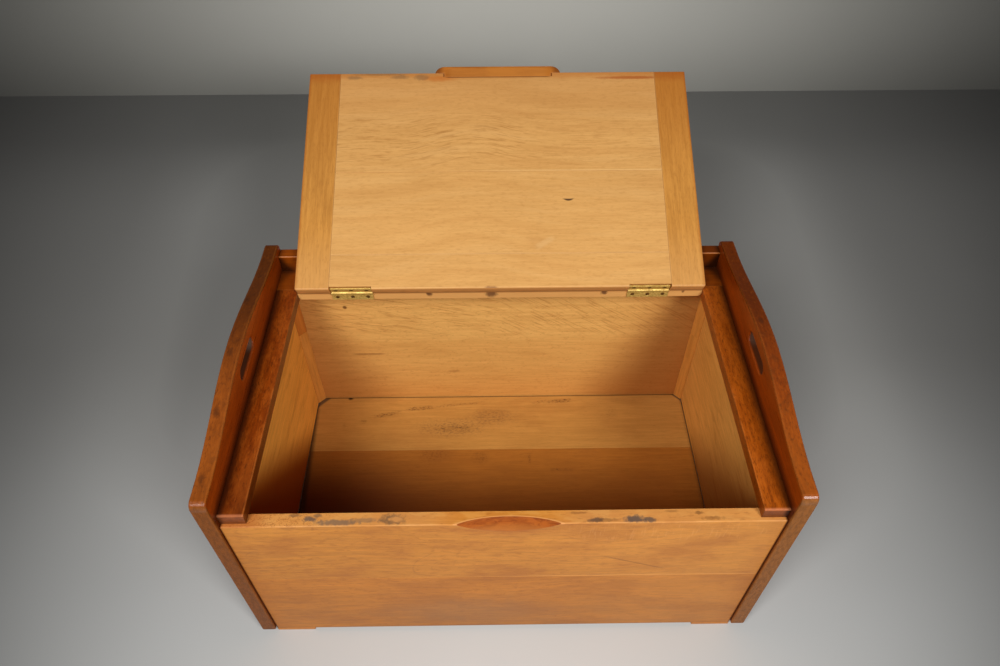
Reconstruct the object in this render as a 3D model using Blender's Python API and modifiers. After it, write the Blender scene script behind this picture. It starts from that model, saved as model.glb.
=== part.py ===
"""Blanket chest: a joined wooden box with humped end panels and a hinged lid.

The front faces -Y, the floor is z = 0 and the origin is the middle of the underside.
The lid is modelled shut and then swung open about the hinge pins until it leans
on the rail behind it.
"""
import math

import bmesh
import bpy
from mathutils import Matrix, Vector

# Seating gap between pieces that touch
GAP = 0.0003

# End panels
BOX_LENGTH = 0.827
END_THICKNESS = 0.024
END_DEPTH = 0.549
END_BOTTOM = 0.015
FRONT_SHOULDER_HEIGHT = 0.4595
REAR_SHOULDER_HEIGHT = 0.4635
CREST_HEIGHT = 0.4915
HUMP_HALF_LENGTH = 0.250
HUMP_STEPS = 22
END_CORNER_RADIUS = 0.012
END_CORNER_STEPS = 6
END_ARRIS = 0.0045
HAND_SLOT_LENGTH = 0.085
HAND_SLOT_HEIGHT = 0.023
HAND_SLOT_Y = -0.003
HAND_SLOT_DROP = 0.0355
HAND_SLOT_STEPS = 8

# Front and back
FRONT_SETBACK = 0.0055
FRONT_THICKNESS = 0.022
FRONT_JOINT_HEIGHT = 0.213
FRONT_TOP_ARRIS = 0.0016
SCOOP_HALF_LENGTH = 0.077
SCOOP_BACK = 0.0125
SCOOP_DROP = 0.020
SCOOP_OFFSET = 0.006
SCOOP_STAND_OFF = 0.50
SCOOP_SEGMENTS = 64
SCOOP_RINGS = 32
BACK_THICKNESS = 0.0225
RAIL_RISE = 0.0355
RAIL_ARRIS = 0.0025

# Floor and runners
RUNNER_THICKNESS = 0.008
RUNNER_WIDTH = 0.068
CENTRE_RUNNER_WIDTH = 0.070
FLOOR_THICKNESS = 0.009
FLOOR_MARGIN = 0.0012
FLOOR_REAR_WIDTH = 0.144
FLOOR_MIDDLE_WIDTH = 0.176

# Ledges, shelf and corner blocks
LEDGE_TOP = 0.412
LEDGE_WIDTH = 0.0385
LEDGE_FRONT_SETBACK = 0.0055
LEDGE_LAP = 0.009
LEDGE_FRONT_ARRIS = 0.003
SHELF_DEPTH = 0.0605
SHELF_THICKNESS = 0.017
SHELF_CORNER_RADIUS = 0.007
SHELF_CORNER_STEPS = 6
BLOCK_LEG = 0.0145
BLOCK_NOSE = 0.0015
LEFT_UPPER_BLOCK_LENGTH = 0.151
RIGHT_UPPER_BLOCK_LENGTH = 0.170

# Lid
LID_THICKNESS = 0.022
LID_SIDE_GAP = 0.002
LID_REAR_GAP = 0.0008
LID_SETBACK = 0.0022
LID_EDGE_ARRIS = 0.0015
LID_REAR_ARRIS = 0.003
CLAMP_WIDTH = 0.0616
LID_REAR_BOARD_WIDTH = 0.0675
LID_MIDDLE_BOARD_WIDTH = 0.1693
TONGUE_LENGTH = 0.010
TONGUE_THICKNESS = 0.007
TONGUE_SHOULDER = 0.018
TONGUE_RELIEF = 0.003
PULL_LENGTH = 0.250
PULL_FACE_LENGTH = 0.212
PULL_DEPTH = 0.0175
PULL_SEAT_LENGTH = 0.216
PULL_SEAT_DEPTH = 0.009
PULL_THICKNESS = 0.014
PULL_RECESS = 0.003
PULL_ARRIS = 0.0025
PULL_END_STEPS = 5

# Hinges
HINGE_LENGTH = 0.076
HINGE_END_GAP = 0.0005
KNUCKLE_COUNT = 5
KNUCKLE_RADIUS = 0.0033
KNUCKLE_SEGMENTS = 18
KNUCKLE_RELIEF = 0.0004
LEAF_WIDTH = 0.0175
LEAF_THICKNESS = 0.0026
LEAF_CLEARANCE = 0.0004
PIN_RISE = 0.0023
PIN_RADIUS = 0.0013
PIN_CLEARANCE = 0.0001
PIN_PROUD = 0.0004
PIN_SEGMENTS = 16
SCREW_PITCH = 0.028
SCREW_DROP = 0.0108
SCREW_LENGTH = 0.016
SCREW_HEAD_RADIUS = 0.0036
SCREW_HEAD_DEPTH = 0.0016
SCREW_SHANK_RADIUS = 0.0015
SCREW_SINK = 0.0001
SCREW_SEGMENTS = 12
SCREW_SLOT_WIDTH = 0.0009
SCREW_SLOT_DEPTH = 0.0006

# Small rounding of sawn edges
ARRIS = 0.0010
JOINT_ARRIS = 0.0003
ARRIS_SEGMENTS = 2
SOFT_ARRIS_SEGMENTS = 3

# Angles in degrees: edges sharper than the first are rounded, or shaded hard past the second,
# and faces flatter to each other than the third are one face
RIM_ANGLE = 40
SHADE_ANGLE = 35
FLAT_ANGLE = 0.2

# Points closer than this are one point
WELD_DISTANCE = 0.00001

# Base colour, roughness and metallic value of each finish
FINISHES = {
    "stained": ((0.156, 0.040, 0.008), 0.38, 0.0),
    "ledge": ((0.230, 0.066, 0.011), 0.40, 0.0),
    "honey": ((0.485, 0.188, 0.053), 0.36, 0.0),
    "pale": ((0.776, 0.423, 0.141), 0.55, 0.0),
    "clamp": ((0.610, 0.262, 0.061), 0.52, 0.0),
    "floor": ((0.305, 0.102, 0.017), 0.60, 0.0),
    "block": ((0.420, 0.170, 0.040), 0.58, 0.0),
    "brass": ((0.578, 0.352, 0.061), 0.30, 1.0),
}

# Levels and faces that follow from the sizes
box_half = BOX_LENGTH / 2
depth_half = END_DEPTH / 2
front_face = -depth_half + FRONT_SETBACK
front_inner = front_face + FRONT_THICKNESS
back_inner = depth_half - BACK_THICKNESS
shelf_front = back_inner - SHELF_DEPTH
shelf_bottom = LEDGE_TOP - SHELF_THICKNESS
rail_top = LEDGE_TOP + RAIL_RISE
slot_level = CREST_HEIGHT - HAND_SLOT_DROP
lid_bottom = LEDGE_TOP - LID_THICKNESS
front_top = lid_bottom - GAP
carcass_bottom = RUNNER_THICKNESS + GAP
floor_top = carcass_bottom + FLOOR_THICKNESS
ledge_inner = box_half - LEDGE_WIDTH
ledge_rear = shelf_front + LEDGE_LAP
lid_half = ledge_inner - LID_SIDE_GAP
lid_rear = shelf_front - LID_REAR_GAP
lid_front = front_face + LID_SETBACK
clamp_joint = lid_half - CLAMP_WIDTH

# Hinge pin line and the angle at which the lid leans on the rail
pin_y = shelf_front - GAP - LEAF_THICKNESS - LEAF_CLEARANCE / 2
pin_z = LEDGE_TOP + PIN_RISE
hinge_x = clamp_joint - HINGE_END_GAP - HINGE_LENGTH / 2
rail_reach = back_inner + RAIL_ARRIS - pin_y
rail_lift = rail_top - RAIL_ARRIS - pin_z
lean = math.atan2(rail_lift, rail_reach)
lean += math.asin((RAIL_ARRIS + GAP - PIN_RISE) / math.hypot(rail_reach, rail_lift))
lid_opening = math.pi - lean

for old in list(bpy.data.objects):
    bpy.data.objects.remove(old, do_unlink=True)

parts = bpy.data.collections.new("blanket_chest")
cutters = bpy.data.collections.new("blanket_chest_cutters")
bpy.context.scene.collection.children.link(parts)
bpy.context.scene.collection.children.link(cutters)

# The lid and its half of each hinge hang from this empty on the pin line
swing = bpy.data.objects.new("lid_swing", None)
swing.location = (0, pin_y, pin_z)
swing.empty_display_size = 0.05
parts.objects.link(swing)
swing_home = Matrix.Translation(swing.location)


def finish_material(name, finish):
    colour, roughness, metallic = FINISHES[finish]
    material = bpy.data.materials.new(name)
    material.use_nodes = True
    shader = material.node_tree.nodes["Principled BSDF"]
    shader.inputs["Base Color"].default_value = (*colour, 1.0)
    shader.inputs["Roughness"].default_value = roughness
    shader.inputs["Metallic"].default_value = metallic
    return material


def place(item, location, on_lid):
    item.location = location
    if on_lid:
        item.parent = swing
        item.matrix_parent_inverse = swing_home.inverted()
    return item


def add_part(name, mesh, finish, location, on_lid=False):
    item = bpy.data.objects.new(name, mesh)
    parts.objects.link(item)
    item.data.materials.append(finish_material(name, finish))
    return place(item, location, on_lid)


def add_cutter(name, mesh, location, on_lid=False):
    item = bpy.data.objects.new(name, mesh)
    cutters.objects.link(item)
    item.hide_render = True
    item.display_type = "WIRE"
    return place(item, location, on_lid)


def combine(item, tool, operation):
    step = item.modifiers.new(tool.name, "BOOLEAN")
    step.operation = operation
    step.object = tool
    step.solver = "EXACT"


def to_mesh(bm, name):
    mesh = bpy.data.meshes.new(name)
    bm.to_mesh(mesh)
    bm.free()
    return mesh


def box_shape(low, high):
    bm = bmesh.new()
    bmesh.ops.create_cube(bm, size=1.0)
    bmesh.ops.scale(bm, vec=Vector(high) - Vector(low), verts=bm.verts)
    return bm


def box_cutter(name, low, high, on_lid=False):
    centre = (Vector(low) + Vector(high)) / 2
    return add_cutter(name, to_mesh(box_shape(low, high), name), centre, on_lid)


def edge_key(edge):
    middle = (edge.verts[0].co + edge.verts[1].co) / 2
    return tuple(0 if abs(v) < WELD_DISTANCE else int(math.copysign(1, v)) for v in middle)


def board(name, low, high, finish, arris=ARRIS, rounds=None, segments=ARRIS_SEGMENTS, on_lid=False):
    """A squared board; rounds gives some of its edges, named by side signs, a radius of their own."""
    rounds = rounds or {}
    bm = box_shape(low, high)
    widest = max([arris, *rounds.values()])
    weight = bm.edges.layers.float.new("bevel_weight_edge")
    for edge in bm.edges:
        edge[weight] = rounds.get(edge_key(edge), arris) / widest
    centre = (Vector(low) + Vector(high)) / 2
    item = add_part(name, to_mesh(bm, name), finish, centre, on_lid)
    soften = item.modifiers.new("arrises", "BEVEL")
    soften.limit_method = "WEIGHT"
    soften.width = widest
    soften.segments = segments
    return item


def arc(centre, radius, start, stop, steps):
    points = []
    for step in range(steps + 1):
        turn = math.radians(start + (stop - start) * step / steps)
        points.append((centre[0] + radius * math.cos(turn), centre[1] + radius * math.sin(turn)))
    return points


def outline_mesh(name, loops, thickness, matrix=None):
    """A flat plate from closed outlines, with any later outline left as a hole."""
    curve = bpy.data.curves.new(name, "CURVE")
    curve.dimensions = "2D"
    curve.fill_mode = "BOTH"
    curve.extrude = thickness / 2
    for loop in loops:
        spline = curve.splines.new("POLY")
        spline.points.add(len(loop) - 1)
        for point, (u, v) in zip(spline.points, loop):
            point.co = (u, v, 0, 1)
        spline.use_cyclic_u = True
    guide = bpy.data.objects.new(name, curve)
    cutters.objects.link(guide)
    graph = bpy.context.evaluated_depsgraph_get()
    mesh = bpy.data.meshes.new_from_object(guide.evaluated_get(graph))
    bpy.data.objects.remove(guide, do_unlink=True)
    bm = bmesh.new()
    bm.from_mesh(mesh)
    bpy.data.meshes.remove(mesh)
    bmesh.ops.remove_doubles(bm, verts=bm.verts, dist=WELD_DISTANCE)
    bmesh.ops.dissolve_limit(bm, angle_limit=math.radians(FLAT_ANGLE), verts=bm.verts, edges=bm.edges)
    bmesh.ops.recalc_face_normals(bm, faces=bm.faces)
    if matrix:
        bmesh.ops.transform(bm, matrix=matrix, verts=bm.verts)
    return to_mesh(bm, name)


def round_rims(item, radius, segments=ARRIS_SEGMENTS):
    soften = item.modifiers.new("arrises", "BEVEL")
    soften.limit_method = "ANGLE"
    soften.angle_limit = math.radians(RIM_ANGLE)
    soften.width = radius
    soften.segments = segments


def rod(bm, radius, length, segments, matrix):
    bmesh.ops.create_cone(bm, cap_ends=True, segments=segments, radius1=radius, radius2=radius,
                          depth=length, matrix=matrix)


# End panels: a shallow hump along the top and a hand slot through it
def end_outline():
    side = depth_half - END_CORNER_RADIUS
    points = [(-depth_half, END_BOTTOM), (depth_half, END_BOTTOM)]
    rear_centre = (side, REAR_SHOULDER_HEIGHT - END_CORNER_RADIUS)
    front_centre = (-side, FRONT_SHOULDER_HEIGHT - END_CORNER_RADIUS)
    points += arc(rear_centre, END_CORNER_RADIUS, 0, 90, END_CORNER_STEPS)
    for step in range(HUMP_STEPS + 1):
        phase = math.pi * (1 - 2 * step / HUMP_STEPS)
        shoulder = REAR_SHOULDER_HEIGHT if phase > 0 else FRONT_SHOULDER_HEIGHT
        rise = (CREST_HEIGHT - shoulder) * (1 + math.cos(phase)) / 2
        points.append((HUMP_HALF_LENGTH * phase / math.pi, shoulder + rise))
    points += arc(front_centre, END_CORNER_RADIUS, 90, 180, END_CORNER_STEPS)
    return points


def slot_outline():
    radius = HAND_SLOT_HEIGHT / 2
    reach = HAND_SLOT_LENGTH / 2 - radius
    points = arc((HAND_SLOT_Y + reach, slot_level), radius, -90, 90, HAND_SLOT_STEPS)
    return points + arc((HAND_SLOT_Y - reach, slot_level), radius, 90, 270, HAND_SLOT_STEPS)


upright = Matrix.Rotation(math.pi / 2, 4, "Z") @ Matrix.Rotation(math.pi / 2, 4, "X")
end_mesh = outline_mesh("end_panel", [end_outline(), slot_outline()], END_THICKNESS, upright)
for name, side in (("left_end_panel", -1), ("right_end_panel", 1)):
    panel = add_part(name, end_mesh.copy(), "stained", (side * (box_half + END_THICKNESS / 2), 0, 0))
    round_rims(panel, END_ARRIS, SOFT_ARRIS_SEGMENTS)

# Front: two boards edge to edge, the upper one with a finger scoop in its top arris
front_half = box_half - GAP
board("front_lower_board", (-front_half, front_face, carcass_bottom),
      (front_half, front_inner, FRONT_JOINT_HEIGHT - GAP), "honey",
      rounds={(0, -1, 1): JOINT_ARRIS, (0, 1, 1): JOINT_ARRIS})
front_upper = board("front_upper_board", (-front_half, front_face, FRONT_JOINT_HEIGHT),
                    (front_half, front_inner, front_top), "honey",
                    rounds={(0, -1, 1): FRONT_TOP_ARRIS, (0, -1, -1): JOINT_ARRIS,
                            (0, 1, -1): JOINT_ARRIS}, segments=SOFT_ARRIS_SEGMENTS)
# The scoop is part of a long ball whose centre stands clear of both faces, so its ends run out to points
scoop_bite = math.sqrt(1 - SCOOP_STAND_OFF ** 2) - SCOOP_STAND_OFF
scoop_radii = Vector((SCOOP_HALF_LENGTH / math.sqrt(1 - 2 * SCOOP_STAND_OFF ** 2),
                      SCOOP_BACK / scoop_bite, SCOOP_DROP / scoop_bite))
scoop_shape = bmesh.new()
bmesh.ops.create_uvsphere(scoop_shape, u_segments=SCOOP_SEGMENTS, v_segments=SCOOP_RINGS, radius=1.0)
bmesh.ops.rotate(scoop_shape, matrix=Matrix.Rotation(math.pi / 2, 3, "Y"), verts=scoop_shape.verts)
bmesh.ops.scale(scoop_shape, vec=scoop_radii, verts=scoop_shape.verts)
scoop = add_cutter("finger_scoop", to_mesh(scoop_shape, "finger_scoop"),
                   (SCOOP_OFFSET, front_face - SCOOP_STAND_OFF * scoop_radii.y,
                    front_top + SCOOP_STAND_OFF * scoop_radii.z))
combine(front_upper, scoop, "DIFFERENCE")

# Back panel, whose top stands above the shelf as a rail for the open lid
board("back_panel", (-front_half, back_inner, carcass_bottom), (front_half, depth_half, rail_top),
      "stained", rounds={(0, -1, 1): RAIL_ARRIS, (0, 1, 1): RAIL_ARRIS}, segments=SOFT_ARRIS_SEGMENTS)

# Runners under the ends and the middle, and the floor boards laid on them
runner_outer = box_half - GAP
for name, side in (("left_runner", -1), ("right_runner", 1)):
    edges = sorted((side * runner_outer, side * (runner_outer - RUNNER_WIDTH)))
    board(name, (edges[0], front_face, 0), (edges[1], depth_half, RUNNER_THICKNESS), "honey")
board("centre_runner", (-CENTRE_RUNNER_WIDTH / 2, front_inner, 0),
      (CENTRE_RUNNER_WIDTH / 2, back_inner, RUNNER_THICKNESS), "honey")
floor_half = box_half - FLOOR_MARGIN
floor_rear = back_inner - FLOOR_MARGIN
floor_joint_rear = floor_rear - FLOOR_REAR_WIDTH
floor_joint_front = floor_joint_rear - FLOOR_MIDDLE_WIDTH
for name, y_low, y_high in (
        ("floor_front_board", front_inner + FLOOR_MARGIN, floor_joint_front - GAP),
        ("floor_middle_board", floor_joint_front, floor_joint_rear - GAP),
        ("floor_rear_board", floor_joint_rear, floor_rear)):
    board(name, (-floor_half, y_low, carcass_bottom), (floor_half, y_high, floor_top), "floor",
          arris=JOINT_ARRIS)

# Ledges along the end panels, lying on the front's top edge and lapping the shelf
for name, side in (("left_ledge", -1), ("right_ledge", 1)):
    edges = sorted((side * (box_half - GAP), side * ledge_inner))
    board(name, (edges[0], front_face + LEDGE_FRONT_SETBACK, lid_bottom),
          (edges[1], ledge_rear, LEDGE_TOP), "ledge", rounds={(0, -1, 1): LEDGE_FRONT_ARRIS},
          segments=SOFT_ARRIS_SEGMENTS)

# Rear shelf, notched round the ledges' ends, with the lower corners of its front edge rounded off
shelf_half = box_half - GAP
shelf = board("rear_shelf", (-shelf_half, shelf_front, shelf_bottom),
              (shelf_half, back_inner - GAP, LEDGE_TOP), "ledge", arris=0,
              rounds={(0, -1, 1): ARRIS})
for hand, side in (("left", -1), ("right", 1)):
    ends = (side * (ledge_inner - GAP), side * (box_half + END_THICKNESS))
    notch = box_cutter(hand + "_notch",
                       (min(ends), shelf_front - LEDGE_LAP, shelf_bottom - SHELF_THICKNESS),
                       (max(ends), ledge_rear + GAP, LEDGE_TOP + SHELF_THICKNESS))
    combine(shelf, notch, "DIFFERENCE")
    reach = SHELF_CORNER_RADIUS
    outline = [(-LEDGE_LAP, -reach), (reach, -reach)]
    outline += arc((reach, reach), reach, 270, 180, SHELF_CORNER_STEPS)
    outline.append((-LEDGE_LAP, reach))
    outline = [(-side * u, v) for u, v in outline]
    corner_mesh = outline_mesh(hand + "_shelf_corner", [outline], 2 * (LEDGE_LAP + GAP),
                               Matrix.Rotation(math.pi / 2, 4, "X"))
    corner = add_cutter(hand + "_shelf_corner", corner_mesh,
                        (side * (ledge_inner - GAP), shelf_front, shelf_bottom))
    combine(shelf, corner, "DIFFERENCE")


# Corner blocks: three-cornered strips glued up the inside corners
def corner_block(name, side_x, side_y, bottom, top):
    corner_x = side_x * (box_half - GAP)
    corner_y = (back_inner if side_y > 0 else front_inner) - side_y * GAP
    leg_x = -side_x * BLOCK_LEG
    leg_y = -side_y * BLOCK_LEG
    nose_x = -side_x * BLOCK_NOSE
    nose_y = -side_y * BLOCK_NOSE
    outline = [(0, 0), (leg_x, 0), (leg_x, nose_y), (nose_x, leg_y), (0, leg_y)]
    mesh = outline_mesh(name, [outline], top - bottom)
    add_part(name, mesh, "block", (corner_x, corner_y, (top + bottom) / 2))


block_floor = floor_top + GAP
block_roof = shelf_bottom - GAP
left_block_joint = block_roof - LEFT_UPPER_BLOCK_LENGTH
right_block_joint = block_roof - RIGHT_UPPER_BLOCK_LENGTH
corner_block("rear_left_upper_block", -1, 1, left_block_joint, block_roof)
corner_block("rear_left_lower_block", -1, 1, block_floor, left_block_joint - GAP)
corner_block("rear_right_upper_block", 1, 1, right_block_joint, block_roof)
corner_block("rear_right_lower_block", 1, 1, block_floor, right_block_joint - GAP)
corner_block("front_left_block", -1, -1, block_floor, lid_bottom - GAP)
corner_block("front_right_block", 1, -1, block_floor, lid_bottom - GAP)

# Lid: three boards edge to edge, their ends tongued into a clamp across each end
lid_joint_rear = lid_rear - LID_REAR_BOARD_WIDTH
lid_joint_front = lid_joint_rear - LID_MIDDLE_BOARD_WIDTH
board_half = clamp_joint - GAP
lid_middle_z = (lid_bottom + LEDGE_TOP) / 2
tongue_z = TONGUE_THICKNESS / 2
lid_boards = {}
for name, y_low, y_high, tongue_low, tongue_high, rounds in (
        ("lid_front_board", lid_front, lid_joint_front - GAP,
         lid_front + TONGUE_SHOULDER, lid_joint_front - TONGUE_RELIEF,
         {(0, -1, 1): LID_EDGE_ARRIS, (0, -1, -1): LID_EDGE_ARRIS}),
        ("lid_middle_board", lid_joint_front, lid_joint_rear - GAP,
         lid_joint_front + TONGUE_RELIEF, lid_joint_rear - TONGUE_RELIEF, {}),
        ("lid_rear_board", lid_joint_rear, lid_rear,
         lid_joint_rear + TONGUE_RELIEF, lid_rear - TONGUE_SHOULDER, {(0, 1, -1): LID_REAR_ARRIS})):
    item = board(name, (-board_half, y_low, lid_bottom), (board_half, y_high, LEDGE_TOP), "pale",
                 arris=JOINT_ARRIS, rounds=rounds, on_lid=True)
    tongue_reach = clamp_joint + TONGUE_LENGTH
    tongue = box_cutter(name + "_tongue", (-tongue_reach, tongue_low, lid_middle_z - tongue_z),
                        (tongue_reach, tongue_high, lid_middle_z + tongue_z), on_lid=True)
    combine(item, tongue, "UNION")
    lid_boards[name] = item
for name, side in (("lid_left_clamp", -1), ("lid_right_clamp", 1)):
    edges = sorted((side * clamp_joint, side * lid_half))
    rounds = {(0, -1, 1): LID_EDGE_ARRIS, (0, -1, -1): LID_EDGE_ARRIS,
              (side, 0, 1): LID_EDGE_ARRIS, (side, 0, -1): LID_EDGE_ARRIS,
              (side, -1, 0): LID_EDGE_ARRIS, (0, 1, -1): LID_REAR_ARRIS, (side, 1, 0): LID_REAR_ARRIS}
    clamp = board(name, (edges[0], lid_front, lid_bottom), (edges[1], lid_rear, LEDGE_TOP), "clamp",
                  arris=JOINT_ARRIS, rounds=rounds, on_lid=True)
    groove_deep = clamp_joint + TONGUE_LENGTH + GAP
    groove_open = clamp_joint - TONGUE_RELIEF
    edges = sorted((side * groove_open, side * groove_deep))
    groove = box_cutter(name + "_groove",
                        (edges[0], lid_front + TONGUE_SHOULDER - GAP, lid_middle_z - tongue_z - GAP),
                        (edges[1], lid_rear - TONGUE_SHOULDER + GAP, lid_middle_z + tongue_z + GAP),
                        on_lid=True)
    combine(clamp, groove, "DIFFERENCE")

# Finger pull let into the lid's front edge from below, its ends swept back
pull_back = lid_front - GAP
pull_sweep = (PULL_LENGTH - PULL_FACE_LENGTH) / 2


def pull_outline():
    points = []
    for side in (-1, 1):
        end = []
        for step in range(PULL_END_STEPS + 1):
            turn = math.pi / 2 * step / PULL_END_STEPS
            x = PULL_FACE_LENGTH / 2 + pull_sweep * math.sin(turn)
            y = pull_back - PULL_DEPTH * math.cos(turn)
            end.append((side * x, y))
        points += end[::-1] if side < 0 else end
    seat_half = PULL_SEAT_LENGTH / 2 - GAP
    seat_back = lid_front + PULL_SEAT_DEPTH - GAP
    points += [(seat_half, pull_back), (seat_half, seat_back)]
    return points + [(-seat_half, seat_back), (-seat_half, pull_back)]


pull_z = lid_bottom + PULL_RECESS + PULL_THICKNESS / 2
pull_mesh = outline_mesh("lid_pull", [pull_outline()], PULL_THICKNESS)
pull_rims = pull_mesh.attributes.new("bevel_weight_edge", "FLOAT", "EDGE")
for edge in pull_mesh.edges:
    ends = [pull_mesh.vertices[index].co.z for index in edge.vertices]
    pull_rims.data[edge.index].value = 1.0 if ends[0] == ends[1] else 0.0
pull = add_part("lid_pull", pull_mesh, "clamp", (0, 0, pull_z), on_lid=True)
pull_edges = pull.modifiers.new("arrises", "BEVEL")
pull_edges.limit_method = "WEIGHT"
pull_edges.width = PULL_ARRIS
pull_edges.segments = ARRIS_SEGMENTS
seat = box_cutter("pull_seat", (-PULL_SEAT_LENGTH / 2, lid_front - PULL_DEPTH, lid_bottom - PULL_DEPTH),
                  (PULL_SEAT_LENGTH / 2, lid_front + PULL_SEAT_DEPTH, pull_z + PULL_THICKNESS / 2 + GAP),
                  on_lid=True)
combine(lid_boards["lid_front_board"], seat, "DIFFERENCE")


# Hinges: two leaves whose knuckles interleave on a pin, each leaf held by three screws
def knuckle_span(index):
    pitch = HINGE_LENGTH / KNUCKLE_COUNT
    low = -HINGE_LENGTH / 2 + index * pitch
    return low, low + pitch


def knuckle_mesh(name, own):
    bm = bmesh.new()
    lie = Matrix.Rotation(math.pi / 2, 4, "Y")
    for index in own:
        low, high = knuckle_span(index)
        middle = Matrix.Translation(((low + high) / 2, 0, 0))
        rod(bm, KNUCKLE_RADIUS, high - low - GAP, KNUCKLE_SEGMENTS, middle @ lie)
    return to_mesh(bm, name)


def leaf_mesh(name, own, side):
    """A comb outline: the full plate below the barrel, with a neck up to each of its own knuckles."""
    low_z = -LEAF_WIDTH
    comb_z = -KNUCKLE_RADIUS - KNUCKLE_RELIEF
    half = HINGE_LENGTH / 2
    outline = [(-half, low_z), (half, low_z), (half, comb_z)]
    for index in reversed(range(KNUCKLE_COUNT)):
        if index in own:
            low, high = knuckle_span(index)
            low += GAP
            high -= GAP
            outline += [(high, comb_z), (high, 0), (low, 0), (low, comb_z)]
    outline.append((-half, comb_z))
    stand = Matrix.Rotation(math.pi / 2, 4, "X")
    offset = Matrix.Translation((0, side * (LEAF_CLEARANCE + LEAF_THICKNESS) / 2, 0))
    return outline_mesh(name, [outline], LEAF_THICKNESS, offset @ stand)


def screw_mesh(name, side, clearance=0.0, lift=0.0):
    """A countersunk screw; the form with clearance, lifted past the face, drills its hole."""
    bm = bmesh.new()
    turn = Matrix.Rotation(side * math.pi / 2, 4, "X")
    inward = Vector((0, side, 0))
    face = Matrix.Translation(inward * (LEAF_CLEARANCE / 2 + SCREW_SINK))
    flare = SCREW_HEAD_RADIUS - SCREW_SHANK_RADIUS
    top_radius = SCREW_HEAD_RADIUS + clearance + flare * lift / SCREW_HEAD_DEPTH
    depth = SCREW_HEAD_DEPTH + lift
    sink = Matrix.Translation((0, 0, lift - depth / 2))
    bmesh.ops.create_cone(bm, cap_ends=True, segments=SCREW_SEGMENTS,
                          radius1=SCREW_SHANK_RADIUS + clearance, radius2=top_radius,
                          depth=depth, matrix=face @ turn @ sink)
    caps = [cap for cap in bm.faces if len(cap.verts) == SCREW_SEGMENTS]
    base = max(caps, key=lambda cap: cap.calc_center_median().dot(inward))
    drawn = bmesh.ops.extrude_face_region(bm, geom=[base])
    moved = [item for item in drawn["geom"] if isinstance(item, bmesh.types.BMVert)]
    reach = SCREW_LENGTH - SCREW_HEAD_DEPTH + clearance
    bmesh.ops.translate(bm, vec=inward * reach, verts=moved)
    bmesh.ops.delete(bm, geom=[base], context="FACES_ONLY")
    bmesh.ops.recalc_face_normals(bm, faces=bm.faces)
    return to_mesh(bm, name)


def slot_mesh(name, side, angle):
    bm = bmesh.new()
    face = Matrix.Translation((0, side * (LEAF_CLEARANCE / 2 + SCREW_SINK), 0))
    size = (SCREW_HEAD_RADIUS * 3, SCREW_SLOT_DEPTH * 2, SCREW_SLOT_WIDTH, 1)
    turn = Matrix.Rotation(math.radians(angle), 4, "Y")
    bmesh.ops.create_cube(bm, size=1.0, matrix=face @ turn @ Matrix.Diagonal(size))
    return to_mesh(bm, name)


def smooth(item):
    item.data.shade_smooth()
    item.data.set_sharp_from_angle(angle=math.radians(SHADE_ANGLE))


lying = Matrix.Rotation(math.pi / 2, 4, "Y")
fixed_own = [index for index in range(KNUCKLE_COUNT) if index % 2 == 0]
lid_own = [index for index in range(KNUCKLE_COUNT) if index % 2 == 1]
for hand, side in (("left", -1), ("right", 1)):
    centre = Vector((side * hinge_x, pin_y, pin_z))
    bore_shape = bmesh.new()
    rod(bore_shape, PIN_RADIUS + PIN_CLEARANCE, HINGE_LENGTH * 2, PIN_SEGMENTS, lying)
    bore_mesh = to_mesh(bore_shape, hand + "_pin_bore")
    gain_floor = pin_y - LEAF_CLEARANCE / 2 - LEAF_THICKNESS - GAP
    gain_ends = (side * (hinge_x - HINGE_LENGTH / 2 - HINGE_END_GAP), side * (clamp_joint + GAP))
    gain = box_cutter(hand + "_gain", (min(gain_ends), gain_floor, lid_bottom - LID_THICKNESS),
                      (max(gain_ends), lid_rear + LID_THICKNESS, LEDGE_TOP + LID_THICKNESS), on_lid=True)
    combine(lid_boards["lid_rear_board"], gain, "DIFFERENCE")
    for leaf, own, face_side, on_lid, wood, angles in (
            ("fixed", fixed_own, 1, False, shelf, (24, 70, -38)),
            ("lid", lid_own, -1, True, lid_boards["lid_rear_board"], (-15, 52, 82))):
        stem = hand + "_hinge_" + leaf
        plate = add_part(stem + "_leaf", leaf_mesh(stem + "_leaf", own, face_side), "brass", centre, on_lid)
        barrel = add_cutter(stem + "_knuckles", knuckle_mesh(stem + "_knuckles", own), centre, on_lid)
        combine(plate, barrel, "UNION")
        bore = add_cutter(stem + "_bore", bore_mesh, centre, on_lid)
        combine(plate, bore, "DIFFERENCE")
        for number, angle in enumerate(angles, 1):
            spot = centre + Vector(((number - 2) * SCREW_PITCH, 0, -SCREW_DROP))
            name = "%s_screw_%d" % (stem, number)
            hole_mesh = screw_mesh(name + "_hole", face_side, GAP, SCREW_HEAD_DEPTH)
            hole = add_cutter(name + "_hole", hole_mesh, spot, on_lid)
            combine(plate, hole, "DIFFERENCE")
            combine(wood, hole, "DIFFERENCE")
            screw = add_part(name, screw_mesh(name, face_side), "brass", spot, on_lid)
            slot = add_cutter(name + "_slot", slot_mesh(name + "_slot", face_side, angle), spot, on_lid)
            combine(screw, slot, "DIFFERENCE")
            smooth(screw)
        smooth(plate)
    pin_shape = bmesh.new()
    rod(pin_shape, PIN_RADIUS, HINGE_LENGTH + 2 * PIN_PROUD, PIN_SEGMENTS, lying)
    smooth(add_part(hand + "_hinge_pin", to_mesh(pin_shape, hand + "_hinge_pin"), "brass", centre))

# Swing the lid open until its upper face meets the rail
swing.rotation_euler.x = -lid_opening
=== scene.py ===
"""Dresses the blanket chest: oak in its several finishes, worn brass, studio light and the camera."""

import math

import bpy
from mathutils import Matrix, Vector

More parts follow.
